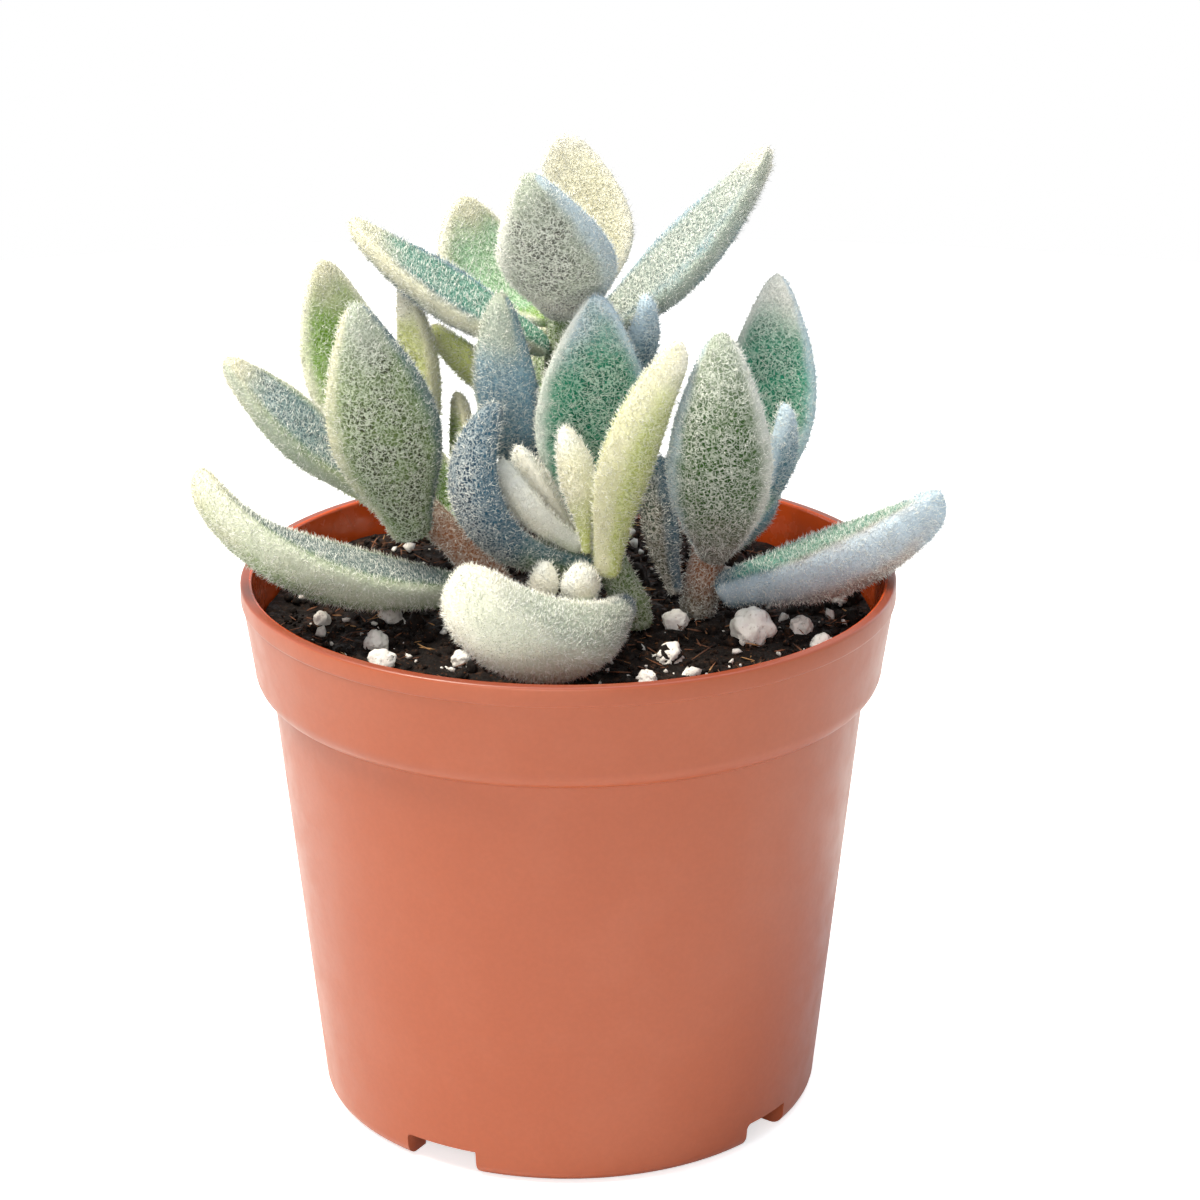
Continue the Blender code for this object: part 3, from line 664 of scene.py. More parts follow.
def turned(name, profile, sides):
    """Extrudes a circle ring by ring along a profile of radius and height, and closes both ends."""
    deselect_all()
    radius, height = profile[0]
    bpy.ops.mesh.primitive_circle_add(
        vertices=sides, radius=radius, fill_type="NGON", location=(0, 0, height)
    )
    obj = bpy.context.object
    obj.name = obj.data.name = name
    bpy.ops.object.transform_apply(location=True, rotation=False, scale=False)
    bpy.ops.object.mode_set(mode="EDIT")
    bpy.ops.mesh.select_all(action="SELECT")
    bpy.ops.mesh.extrude_edges_move(TRANSFORM_OT_translate={"value": (0, 0, 0)})
    now_radius, now_height = radius, height
    for step, (radius, height) in enumerate(profile[1:]):
        if step:
            bpy.ops.mesh.extrude_edges_move(TRANSFORM_OT_translate={"value": (0, 0, 0)})
        bpy.ops.transform.translate(value=(0, 0, height - now_height))
        grow = radius / now_radius
        bpy.ops.transform.resize(value=(grow, grow, 1), center_override=(0, 0, height))
        now_radius, now_height = radius, height
    bpy.ops.mesh.edge_face_add()
    bpy.ops.mesh.select_all(action="SELECT")
    bpy.ops.mesh.remove_doubles(threshold=SAME_POINT)
    bpy.ops.mesh.normals_make_consistent(inside=False)
    bpy.ops.object.mode_set(mode="OBJECT")
    return obj


# Heading and width, in degrees, of each slot between the pot's feet
NOTCHES = ((239.5, 18), (321, 14), (50, 18), (140, 18))
DRAINS = 4


def notch_tool(settings, heading, width):
    """A block with rounded corners that cuts one slot."""
    breadth = 2 * settings.base_radius * math.sin(math.radians(width / 2))
    bpy.ops.mesh.primitive_cube_add(size=1, location=(settings.base_radius, 0, 0))
    tool = bpy.context.object
    tool.scale = (3 * settings.foot_ring, breadth, 2 * settings.notch_height)
    bpy.ops.object.transform_apply(location=True, rotation=False, scale=True)
    bpy.ops.object.mode_set(mode="EDIT")
    edit = bmesh.from_edit_mesh(tool.data)
    for edge in edit.edges:
        edge.select_set(abs(edge.verts[0].co.x - edge.verts[1].co.x) > MM)
    edit.select_flush_mode()
    bpy.ops.mesh.bevel(offset=settings.notch_corner, segments=4, profile=0.5)
    bpy.ops.mesh.select_all(action="SELECT")
    bpy.ops.object.mode_set(mode="OBJECT")
    tool.rotation_euler.z = math.radians(heading)
    bpy.ops.object.transform_apply(location=False, rotation=True, scale=False)
    return tool


def drain_tool(settings, number):
    angle = 2 * math.pi * (number + 0.5) / DRAINS
    bpy.ops.mesh.primitive_cylinder_add(
        vertices=32,
        radius=settings.drain_radius,
        depth=4 * settings.floor_thickness,
        location=(
            settings.drain_ring * math.cos(angle),
            settings.drain_ring * math.sin(angle),
            settings.floor_underside + settings.floor_thickness / 2,
        ),
    )
    tool = bpy.context.object
    bpy.ops.object.transform_apply(location=True, rotation=False, scale=False)
    return tool


class KALANCHOE_OT_pot(bpy.types.Operator):
    """Turn the pot's wall, cut its slots and drain holes, and give it its plastic"""

    bl_idname = "kalanchoe.pot"
    bl_label = "Plastic pot"

    def execute(self, context):
        settings = context.scene.kalanchoe_pot
        pot = turned("nursery_pot", pot_profile(settings), settings.sides)
        deselect_all()
        tools = [notch_tool(settings, heading, width) for heading, width in NOTCHES]
        tools += [drain_tool(settings, number) for number in range(DRAINS)]
        for tool in tools:
            cut = pot.modifiers.new("Cut", "BOOLEAN")
            cut.operation = "DIFFERENCE"
            cut.solver = "EXACT"
            cut.object = tool
        apply_modifiers(pot)
        for tool in tools:
            bpy.data.objects.remove(tool)
        dressed(pot, pot_plastic(settings), NODE_SLOT["pot"], "pot")
        pot.data.materials.append(wet_plastic(settings))
        for face in pot.data.polygons:
            inwards = face.center.xy.dot(face.normal.xy) < 0
            face.material_index = int(inwards and face.center.z > SOIL_LOW.z)
        smooth_under(pot, 32)
        return {"FINISHED"}


# The soil rises by this share towards the back, is heaped at the left back, and rolls in waves:
# height in mm, and turns in radians per mm along X and Y
SOIL_SLOPE = 0.03
HEAP_PLACE = (-19.0, 15.0)
HEAP_HEIGHT = 1.5
HEAP_WIDTH = 9.5
SOIL_WAVES = ((0.12, 0.83, 0.31), (0.12, 0.47, -0.92))
# Its lumps: their size, and their height in mm away from the wall
SOIL_LUMPS = ((2.3 * MM, 0.3), (1 * MM, 0.22))
SOIL_RINGS = 46
SOIL_SIDES = 150
# How far the soil, and the crumbs on it, stop short of the wall
WALL_GAP = 0.3 * MM
CRUMB_GAP = 0.7 * MM
CRUMB_SEED = 11
DROP_SEED = 5
# How far the drops stay above the soil's level and below the pot's mouth
DROPS_ABOVE = 0.9 * MM
DROPS_BELOW = 0.8 * MM


def soil_height(x, y):
    """The height of the soil's surface at a place, all in metres."""
    settings = bpy.context.scene.kalanchoe_soil
    x = np.asarray(x) / MM
    y = np.asarray(y) / MM
    away = np.hypot(x - HEAP_PLACE[0], y - HEAP_PLACE[1]) / HEAP_WIDTH
    height = SOIL_SLOPE * y + HEAP_HEIGHT * np.exp(-away * away)
    for swell, turns_x, turns_y in SOIL_WAVES:
        height = height + swell * np.sin(turns_x * x + turns_y * y)
    return settings.level + height * MM


class KALANCHOE_OT_soil(bpy.types.Operator):
    """Fill the pot with soil and roughen its surface"""

    bl_idname = "kalanchoe.soil"
    bl_label = "Potting soil"

    def execute(self, context):
        settings = context.scene.kalanchoe_soil
        pot = context.scene.kalanchoe_pot
        shoulder = POT_HIGH.z - pot.shoulder_depth
        profile = [(FLOOR_RINGS[0], SOIL_LOW.z)]
        for height in (SOIL_LOW.z, shoulder, POT_HIGH.z - pot.band_depth, settings.level):
            profile.append((wall_radius(pot, height) - pot.wall - WALL_GAP, height))
        edge = profile[-1][0]
        for ring in range(SOIL_RINGS - 1, 0, -1):
            profile.append((edge * ring / SOIL_RINGS, settings.level))
        soil = turned("soil_bed", profile, SOIL_SIDES)
        for vert in soil.data.vertices:
            if abs(vert.co.z - settings.level) < SAME_POINT:
                x, y, _ = vert.co
                lumps = sum(noise.noise(vert.co / size) * rise for size, rise in SOIL_LUMPS)
                inside = min(1.0, (edge - math.hypot(x, y)) / (1.5 * MM))
                flatter = 0.3 + 0.7 * inside
                vert.co.z = float(soil_height(x, y)) + lumps * MM * flatter
        dressed(soil, soil_finish(settings, "moist peat", 0.5), NODE_SLOT["soil"], "soil")
        smooth_under(soil, 50)
        return {"FINISHED"}


def template(add, shape):
    """The points and faces of a small shape made with an operator and then shaped in code."""
    deselect_all()
    add()
    obj = bpy.context.object
    points = vertex_places(obj.data)
    faces = np.array([list(face.vertices) for face in obj.data.polygons])
    bpy.data.objects.remove(obj)
    return shape(points), faces


def mesh_object(name, points, faces, **attributes):
    """An object from arrays of points and of faces that all have as many corners."""
    mesh = bpy.data.meshes.new(name)
    corners = faces.shape[1]
    mesh.vertices.add(len(points))
    mesh.vertices.foreach_set("co", points.astype(np.float32).ravel())
    mesh.loops.add(faces.size)
    mesh.loops.foreach_set("vertex_index", faces.astype(np.int32).ravel())
    mesh.polygons.add(len(faces))
    mesh.polygons.foreach_set("loop_start", np.arange(0, faces.size, corners, dtype=np.int32))
    for key, values in attributes.items():
        write_attribute(mesh, key, values)
    mesh.update(calc_edges=True)
    return linked(name, mesh)


def write_attribute(mesh, name, values):
    """Stores a number or three numbers for each point of a mesh."""
    wide = values.ndim == 2
    attribute = mesh.attributes.new(name, "FLOAT_VECTOR" if wide else "FLOAT", "POINT")
    attribute.data.foreach_set("vector" if wide else "value", values.astype(np.float32).ravel())


def read_attribute(mesh, name):
    attribute = mesh.attributes[name]
    wide = attribute.data_type == "FLOAT_VECTOR"
    values = np.empty(len(mesh.vertices) * (3 if wide else 1), np.float32)
    attribute.data.foreach_get("vector" if wide else "value", values)
    return values.reshape(-1, 3) if wide else values


def random_turns(rng, count):
    """Random rotation matrices."""
    q = rng.normal(size=(count, 4))
    q /= np.linalg.norm(q, axis=1)[:, None]
    w, x, y, z = q.T
    rows = [
        [1 - 2 * (y * y + z * z), 2 * (x * y - z * w), 2 * (x * z + y * w)],
        [2 * (x * y + z * w), 1 - 2 * (x * x + z * z), 2 * (y * z - x * w)],
        [2 * (x * z - y * w), 2 * (y * z + x * w), 1 - 2 * (x * x + y * y)],
    ]
    return np.array(rows).transpose(2, 0, 1)


def strew(name, shape, places, turns, sizes):
    """Copies of a small shape in one mesh, each turned, sized along its own axes and placed."""
    points, faces = shape
    spread = np.einsum("nij,nkj->nki", turns, points[None] * sizes[:, None, :]) + places[:, None, :]
    spread = np.clip(spread, CAD_LOW, CAD_HIGH)
    stacked = faces[None] + (np.arange(len(places)) * len(points))[:, None, None]
    return mesh_object(name, spread.reshape(-1, 3), stacked.reshape(-1, faces.shape[1]))


# How far what lies on the soil stays from the middle of each stem
STEM_CLEARANCE = 1 * MM


def soil_places(rng, count, edge):
    """Random places on the soil, clear of the stems."""
    places = []
    feet = [sum(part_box(node), Vector()) / 2 for node in STEM_NODES]
    while len(places) < count:
        radius = edge * math.sqrt(rng.random())
        angle = 2 * math.pi * rng.random()
        spot = Vector((radius * math.cos(angle), radius * math.sin(angle)))
        if all((spot - foot.xy).length > STEM_CLEARANCE for foot in feet):
            places.append(spot)
    spots = np.array(places)
    return spots, soil_height(spots[:, 0], spots[:, 1])


def crumb_shape(points):
    """A crumb: an icosphere with its corners pushed in and out."""
    return points * (1 + 0.35 * np.sin(9 * points[:, :1] + 5 * points[:, 1:2] + 7 * points[:, 2:]))


def ball(detail):
    return lambda: bpy.ops.mesh.primitive_ico_sphere_add(subdivisions=detail, radius=1)


def fibre_shape(points):
    """A bent splinter that lies along X."""
    made = points.copy()
    made[:, 2] += 0.35 * made[:, 0] ** 2
    made[:, 1] += 0.2 * np.sin(2.5 * made[:, 0])
    return made


def lying(heading, rise):
    """The turn that lays the X axis along a heading, at a rise."""
    way = Vector((math.cos(heading), math.sin(heading), rise))
    return Vector((1, 0, 0)).rotation_difference(way).to_matrix()


class KALANCHOE_OT_crumbs(bpy.types.Operator):
    """Strew crumbs, clods, bark fibres and perlite grains over the soil"""

    bl_idname = "kalanchoe.crumbs"
    bl_label = "Crumbs and fibres"

    def execute(self, context):
        settings = context.scene.kalanchoe_soil
        pot = context.scene.kalanchoe_pot
        rng = np.random.default_rng(CRUMB_SEED)
        edge = wall_radius(pot, settings.level) - pot.wall - CRUMB_GAP
        peat = soil_finish(settings, "peat crumb", 0.75)
        slot = NODE_SLOT["soil"]
        small = template(ball(1), crumb_shape)
        large = template(ball(2), crumb_shape)
        # The last two values are the least and the greatest radius, in mm
        for name, shape, count, low, high in (
            ("soil_crumbs", small, settings.crumbs, 0.16, 0.5),
            ("soil_clods", large, settings.clods, 0.5, 1.15),
        ):
            spots, heights = soil_places(rng, count, edge - high * MM / 2)
            radii = (low + (high - low) * rng.random(count) ** 2.2) * MM
            sizes = radii[:, None] * (0.65 + 0.7 * rng.random((count, 3)))
            lift = radii * (rng.random(count) * 0.9 - 0.15)
            places = np.column_stack([spots, heights + lift])
            crumbs = strew(name, shape, places, random_turns(rng, count), sizes)
            dressed(crumbs, peat, slot)
        count = settings.fibres
        spots, heights = soil_places(rng, count, edge - 1.2 * MM)
        headings = rng.random(count) * 2 * math.pi
        rises = 0.3 * rng.normal(size=count)
        turns = np.array([lying(heading, rise) for heading, rise in zip(headings, rises)])
        sizes = np.column_stack([
            (0.4 + 1.5 * rng.random(count) ** 2) * MM,
            (0.04 + 0.09 * rng.random(count) ** 2) * MM,
            (0.04 + 0.05 * rng.random(count)) * MM,
        ])
        places = np.column_stack([spots, heights + (0.1 + 0.5 * rng.random(count)) * MM])
        splinter = template(ball(1), fibre_shape)
        fibres = strew("bark_fibres", splinter, places, turns, sizes)
        dressed(fibres, fibre_finish(settings), slot)
        count = settings.grains
        spots, heights = soil_places(rng, count, edge - 0.3 * MM)
        radii = (0.12 + 0.5 * rng.random(count) ** 3) * MM
        sizes = radii[:, None] * (0.4 + 1.2 * rng.random((count, 3)))
        places = np.column_stack([spots, heights + radii * 0.5])
        grains = strew("perlite_grains", small, places, random_turns(rng, count), sizes)
        dressed(grains, perlite_finish(settings), NODE_SLOT["perlite_1"])
        return {"FINISHED"}


class KALANCHOE_OT_perlite(bpy.types.Operator):
    """Make each perlite lump craggy"""

    bl_idname = "kalanchoe.perlite"
    bl_label = "Perlite lumps"

    def execute(self, context):
        finish = perlite_finish(context.scene.kalanchoe_soil)
        for number, node in enumerate(PERLITE_NODES):
            lump = node_copy(node, node + "_lump")
            subdivide(lump)
            middle = sum((vert.co for vert in lump.data.vertices), Vector()) / len(lump.data.vertices)
            # Each lump takes its noise from a place of its own
            shift = Vector((number * 5.1, number * 2.3, 0))
            for vert in lump.data.vertices:
                out = vert.co - middle
                size = out.length
                way = out / size
                facet = abs(noise.noise(way * 1.6 + shift)) - 0.2
                crag = noise.noise(vert.co / (0.45 * MM) + shift) * 0.09
                crag -= max(0.0, noise.noise(vert.co / (0.3 * MM) - shift)) * 0.12
                vert.co = middle + way * size * (1.04 + 0.28 * facet + crag * MM / size * 1.1)
            dressed(lump, finish, NODE_SLOT[node], node)
            smooth_under(lump, 45)
        return {"FINISHED"}


class KALANCHOE_OT_drops(bpy.types.Operator):
    """Set small water drops on the wet wall above the soil"""

    bl_idname = "kalanchoe.drops"
    bl_label = "Water drops"

    def execute(self, context):
        settings = context.scene.kalanchoe_soil
        pot = context.scene.kalanchoe_pot
        rng = np.random.default_rng(DROP_SEED)
        count = settings.drops
        angles = 2 * math.pi * rng.random(count)
        low = settings.level + DROPS_ABOVE
        heights = low + (POT_HIGH.z - DROPS_BELOW - low) * rng.random(count) ** 1.5
        radii = (0.07 + 0.22 * rng.random(count) ** 2.5) * MM
        wall = np.array([wall_radius(pot, h) for h in heights]) - pot.wall
        places = np.column_stack([wall * np.cos(angles), wall * np.sin(angles), heights])
        turns = np.zeros((count, 3, 3))
        turns[:, 0, 0], turns[:, 0, 1] = np.cos(angles), -np.sin(angles)
        turns[:, 1, 0], turns[:, 1, 1] = np.sin(angles), np.cos(angles)
        turns[:, 2, 2] = 1
        sizes = np.column_stack([radii * 0.5, radii, radii * (1 + 0.4 * rng.random(count))])
        bead = template(ball(2), lambda points: points)
        drops = strew("water_drops", bead, places, turns, sizes)
        dressed(drops, water_finish(), NODE_SLOT["pot"])
        smooth_all(drops)
        return {"FINISHED"}


# Points round each ring of a leaf, and the way that a leaf's right or near margin lies
LEAF_SIDES = 12
TOWARDS_RIGHT = np.array((1.0, -0.6, 0.0))
# How far a leaf's foot reaches into its stem, and how much narrower it ends there
FOOT_DEPTH = 1.3 * MM
FOOT_NARROWING = 0.8


def neighbours_of(mesh):
    near = [set() for _ in mesh.vertices]
    for edge in mesh.edges:
        a, b = edge.vertices
        near[a].add(b)
        near[b].add(a)
    return near


def around(points):
    """The order of a ring's points as they go round their middle."""
    middle = points.mean(0)
    away = points - middle
    _, _, axes = np.linalg.svd(away)
    return np.argsort(np.arctan2(away @ axes[1], away @ axes[0]))


def ring_table(mesh):
    """The leaf's points as rings from foot to tip, each turned so that its points line up with
    the next ring's, and the tip. The first point of a ring is at one margin."""
    near = neighbours_of(mesh)
    tip = max(range(len(near)), key=lambda index: len(near[index]))
    points = vertex_places(mesh)
    rings, seen, front = [], {tip}, {tip}
    while front:
        front = set().union(*(near[index] for index in front)) - seen
        seen |= front
        if front:
            rings.append(sorted(front))
    if any(len(ring) != LEAF_SIDES for ring in rings):
        raise RuntimeError("a leaf's rings don't all have the same number of points")
    rings = [np.array(ring)[around(points[ring])] for ring in rings]
    widest = max(range(len(rings)), key=lambda r: np.ptp(points[rings[r]], axis=0).sum())
    ring = points[rings[widest]]
    opposite = LEAF_SIDES // 2
    spans = [np.linalg.norm(ring[s] - ring[(s + opposite) % LEAF_SIDES]) for s in range(opposite)]
    rings[widest] = np.roll(rings[widest], -int(np.argmax(spans)))
    order = list(range(widest + 1, len(rings))) + list(range(widest - 1, -1, -1))
    for r in order:
        before = rings[r - 1] if r > widest else rings[r + 1]
        target = points[before] - points[before].mean(0)
        choices = []
        for way in (rings[r], rings[r][::-1]):
            for turn in range(LEAF_SIDES):
                rolled = np.roll(way, turn)
                away = points[rolled] - points[rolled].mean(0)
                choices.append((((away - target) ** 2).sum(), len(choices), rolled))
        rings[r] = min(choices, key=lambda choice: choice[:2])[2]
    return np.array(rings[::-1]), tip


def unit(ways, least=0.0):
    """Rows made one long. The least length keeps a row of zeros from a division by zero."""
    return ways / (np.linalg.norm(ways, axis=1)[:, None] + least)


def leaf_directions(points, rings, tip):
    """For each ring: its middle, and the ways across the leaf and out of its trough."""
    middles = points[rings].mean(1)
    ends = np.vstack([middles, points[tip]])
    length = np.concatenate([[0], np.cumsum(np.linalg.norm(np.diff(ends, axis=0), axis=1))])
    quarter = LEAF_SIDES // 4
    across = unit(points[rings[:, 0]] - points[rings[:, 2 * quarter]])
    if across.mean(0) @ TOWARDS_RIGHT < 0:
        across = -across
    base = (points[rings[:, 0]] + points[rings[:, 2 * quarter]]) / 2
    first = points[rings[:, quarter]] - base
    second = points[rings[:, 3 * quarter]] - base
    shallow = np.linalg.norm(first, axis=1).sum() < np.linalg.norm(second, axis=1).sum()
    inner = unit(first - second if shallow else second - first)
    return middles, length / length[-1], across, inner


def quads_from_triangles(obj, rings):
    """Takes out the diagonals, so that the leaf is a grid of four-sided faces."""
    place = {int(v): (r, s) for r, ring in enumerate(rings) for s, v in enumerate(ring)}
    work_on(obj)
    bpy.ops.object.mode_set(mode="EDIT")
    bpy.ops.mesh.select_mode(type="EDGE")
    edit = bmesh.from_edit_mesh(obj.data)
    for edge in edit.edges:
        ends = [place.get(vert.index) for vert in edge.verts]
        diagonal = False
        if None not in ends:
            (ring_a, side_a), (ring_b, side_b) = ends
            apart = min((side_a - side_b) % LEAF_SIDES, (side_b - side_a) % LEAF_SIDES)
            diagonal = apart > 0 if ring_a != ring_b else apart > 1
        edge.select_set(diagonal)
    edit.select_flush_mode()
    bmesh.update_edit_mesh(obj.data)
    bpy.ops.mesh.dissolve_edges(use_verts=False)
    bpy.ops.object.mode_set(mode="OBJECT")


def sunk_foot(obj, rings):
    """Lets the leaf's flat foot reach on into its stem."""
    points = vertex_places(obj.data)
    foot = points[rings[0]].mean(0)
    back = foot - points[rings[1]].mean(0)
    back /= np.linalg.norm(back)
    work_on(obj)
    bpy.ops.object.mode_set(mode="EDIT")
    bpy.ops.mesh.select_mode(type="VERT")
    edit = bmesh.from_edit_mesh(obj.data)
    edit.verts.ensure_lookup_table()
    for vert in edit.verts:
        vert.select_set(False)
    for index in rings[0]:
        edit.verts[int(index)].select_set(True)
    edit.select_flush_mode()
    bmesh.update_edit_mesh(obj.data)
    bpy.ops.mesh.extrude_region_move(TRANSFORM_OT_translate={"value": tuple(back * FOOT_DEPTH)})
    bpy.ops.transform.resize(value=(FOOT_NARROWING,) * 3)
    bpy.ops.object.mode_set(mode="OBJECT")


def smoothly(value, low, high):
    """0 under low, 1 over high and a soft step between them."""
    t = np.clip((np.asarray(value) - low) / (high - low), 0, 1)
    return t * t * (3 - 2 * t)


def blend(first, second, share):
    return first + (second - first) * np.asarray(share)[:, None]


def slow_noise(points, size, shift):
    """Smooth noise about this size at each point, from -1 to 1."""
    return np.array([noise.noise(Vector(p) / size + Vector((shift, -shift, 0.5 * shift))) for p in points])


def felt_colours(look, along, across, inner, points, shift):
    """The colour of a leaf's felt at each point, from its look, with the look's painted light and shade.
    """
    tone = {part: np.array(FELT[getattr(look, part)]) for part in look._fields[:-1]}
    uneven = slow_noise(points, 3.2 * MM, shift)
    at = along + 0.12 * uneven
    count = len(along)
    colour = blend(np.tile(tone["foot"], (count, 1)), tone["middle"], smoothly(at, 0.1, 0.45))
    colour = blend(colour, tone["tip"], smoothly(at, 0.62, 0.97))
    trough = smoothly(inner, 0.1, 0.7) * smoothly(along, 0.0, 0.12) * (1 - smoothly(at, 0.7, 0.95))
    colour = blend(colour, tone["trough"], 0.8 * trough * (1 - smoothly(np.abs(across), 0.5, 0.9)))
    edge = np.abs(across) + 0.1 * slow_noise(points, 1.6 * MM, shift + 9)
    # The margin colours are partly painted light: warm and lit on the left, bluish and shaded on the right
    side = blend(np.tile(tone["left"], (count, 1)), tone["right"], smoothly(across, -0.2, 0.2))
    margin = smoothly(edge, 0.62, 1.0)
    return colour + (side - colour) * (0.85 * margin)[:, None]


def shares(values, ring):
    """Each point's value against the greatest one on its ring."""
    greatest = np.array([np.abs(values[ring == r]).max() for r in range(ring.max() + 1)])
    return values / np.maximum(greatest[ring], SAME_POINT)


class KALANCHOE_OT_leaves(bpy.types.Operator):
    """Smooth every leaf, join its foot to its stem and lay the colours of its felt"""

    bl_idname = "kalanchoe.leaves"
    bl_label = "Leaves"

    def execute(self, context):
        finish = skin_finish()
        for number, node in enumerate(LEAF_NODES):
            leaf = node_copy(node, node + "_skin")
            rings, tip = ring_table(leaf.data)
            middles, along, across, inner = leaf_directions(vertex_places(leaf.data), rings, tip)
            quads_from_triangles(leaf, rings)
            sunk_foot(leaf, rings)
            points = vertex_places(leaf.data)
            nearest = np.argmin(((points[:, None] - middles[None]) ** 2).sum(2), axis=1)
            away = points - middles[nearest]
            wide = (away * across[nearest]).sum(1)
            deep = (away * inner[nearest]).sum(1)
            at = along[nearest]
            at[tip] = 1.0
            write_attribute(leaf.data, "along", at)
            write_attribute(leaf.data, "across", shares(wide, nearest))
            write_attribute(leaf.data, "inner", shares(deep, nearest))
            subdivide(leaf)
            self.tint(leaf.data, LOOKS[node.removesuffix("_leaf")], number)
            dressed(leaf, finish, NODE_SLOT[node], node)
            smooth_all(leaf)
        return {"FINISHED"}

    def tint(self, mesh, look, number):
        """Stores the felt's colour with its painted light and shade, the colour in its gaps, partly
        painted shade between the hairs, and how much of the gaps shows.
        """
        points = vertex_places(mesh)
        along, across, inner = (read_attribute(mesh, key) for key in ("along", "across", "inner"))
        # Each leaf takes its noise from a place of its own
        shift = 3.7 * number
        felt = felt_colours(look, along, across, inner, points, shift)
        # The gap colour is partly painted shade between the hairs
        gap = np.tile(np.array(FELT[look.gap]), (len(points), 1))
        write_attribute(mesh, "felt", felt)
        write_attribute(mesh, "gap", blend(gap, felt * 0.4, np.full(len(points), 0.25)))
        # Less gap shows near the margins and the tip, so they read paler, which partly paints the sheen of
        # hairs seen edge-on
        uneven = 0.12 * slow_noise(points, 2.4 * MM, shift + 5)
        middle = 1 - smoothly(np.abs(across) + uneven, 0.45, 0.95)
        middle *= 1 - 0.85 * smoothly(along + uneven, 0.72, 1.0)
        write_attribute(mesh, "speckle", look.speckle * (0.12 + 0.88 * middle))


class KALANCHOE_OT_stems(bpy.types.Operator):
    """Smooth the stems and lay the colours of their felt"""

    bl_idname = "kalanchoe.stems"
    bl_label = "Stems"

    def execute(self, context):
        finish = skin_finish()
        finish.name = "felted stem skin"
        for number, node in enumerate(STEM_NODES):
            stem = node_copy(node, node + "_skin")
            points = vertex_places(stem.data)
            for vert in stem.data.vertices:
                swell = noise.noise(vert.co / (4 * MM) + Vector((number, 0, 0)))
                middle = points[np.abs(points[:, 2] - vert.co.z) < 1.5 * MM].mean(0)
                out = Vector((vert.co.x - middle[0], vert.co.y - middle[1], 0))
                vert.co += out * 0.12 * swell
            points = vertex_places(stem.data)
            look = STEM_LOOKS[node.removesuffix("_stem")]
            rise = (points[:, 2] - points[:, 2].min()) / np.ptp(points[:, 2])
            still = np.zeros(len(points))
            felt = felt_colours(look, rise, still, still - 1, points, 5.1 * number)
            write_attribute(stem.data, "along", rise)
            write_attribute(stem.data, "felt", felt)
            # The gap colour is the felt darkened, partly painted shade between the hairs
            write_attribute(stem.data, "gap", felt * 0.45)
            write_attribute(stem.data, "speckle", np.full(len(points), look.speckle))
            dressed(stem, finish, NODE_SLOT[node], node)
            smooth_all(stem)
        return {"FINISHED"}


def surface_points(mesh, density, rng):
    """Random places on a mesh, so many to the square metre, with their normals and attributes."""
    mesh.calc_loop_triangles()
    corners = np.empty(len(mesh.loop_triangles) * 3, np.int32)
    mesh.loop_triangles.foreach_get("vertices", corners)
    corners = corners.reshape(-1, 3)
    points = np.empty(len(mesh.vertices) * 3, np.float32)
    normals = points.copy()
    mesh.vertices.foreach_get("co", points)
    mesh.vertices.foreach_get("normal", normals)
    points, normals = points.reshape(-1, 3), normals.reshape(-1, 3)
    a, b, c = (points[corners[:, k]] for k in range(3))
    areas = np.linalg.norm(np.cross(b - a, c - a), axis=1) / 2
    count = int(areas.sum() * density)
    picked = np.searchsorted(np.cumsum(areas) / areas.sum(), rng.random(count))
    u, v = np.sqrt(rng.random(count)), rng.random(count)
    weights = np.column_stack([1 - u, u * (1 - v), u * v])
    ends = corners[np.minimum(picked, len(corners) - 1)]

    def at(values):
        return np.einsum("nk,nk...->n...", weights, values[ends])

    return at(points), unit(at(normals)), at


# How deep a hair's root lies under the skin, and the four faces of a hair: its foot and its sides
ROOT_DEPTH = 0.05 * MM
HAIR_FACES = np.array(((0, 2, 1), (0, 1, 3), (1, 2, 3), (2, 0, 3)))


def hair_mesh(name, skin, settings, density, rng):
    """Hairs on a skin: each one is a thin closed spike of four faces."""
    roots, normals, at = surface_points(skin.data, density, rng)
    kept = rng.random(len(roots)) > settings.thinning * at(read_attribute(skin.data, "speckle"))
    roots, normals = roots[kept], normals[kept]
    felt = at(read_attribute(skin.data, "felt"))[kept]
    along = at(read_attribute(skin.data, "along"))[kept]
    count = len(roots)
    random_way = rng.normal(size=(count, 3))
    grow = np.zeros((count, 3))
    # A leaf's hairs lean towards its tip, and a stem's don't
    if "inner" in skin.data.attributes:
        tip = np.array(skin.data.vertices[int(np.argmax(read_attribute(skin.data, "along")))].co)
        grow = unit(tip - roots, 1e-6)
    sideways = unit(random_way) + settings.combed * 2 * grow
    sideways = unit(sideways - (sideways * normals).sum(1)[:, None] * normals)
    lean = settings.lean * (0.35 + 1.15 * rng.random(count))
    way = normals * np.cos(lean)[:, None] + sideways * np.sin(lean)[:, None]
    length = settings.length * (0.55 + 0.8 * rng.random(count))
    length *= 0.7 + 0.3 * smoothly(along, 0.0, 0.2)
    breadth = settings.breadth / 2 * (0.75 + 0.5 * rng.random(count))
    side = unit(np.cross(way, normals + 0.3 * random_way), 1e-9)
    other = np.cross(way, side)
    starts = roots - normals * ROOT_DEPTH
    corners = []
    for angle in (0, 2 * math.pi / 3, 4 * math.pi / 3):
        offset = side * math.cos(angle) + other * math.sin(angle)
        corners.append(starts + offset * breadth[:, None])
    corners.append(starts + way * length[:, None])
    points = np.stack(corners, axis=1).reshape(-1, 3)
    points = np.clip(points, CAD_LOW, CAD_HIGH)
    faces = (HAIR_FACES[None] + (4 * np.arange(count))[:, None, None]).reshape(-1, 3)
    shades = {
        "felt": np.repeat(felt, 4, axis=0),
        "reach": np.tile((0.0, 0.0, 0.0, 1.0), count),
        "paler": np.repeat(rng.random(count), 4),
    }
    return mesh_object(name, points, faces, **shades)


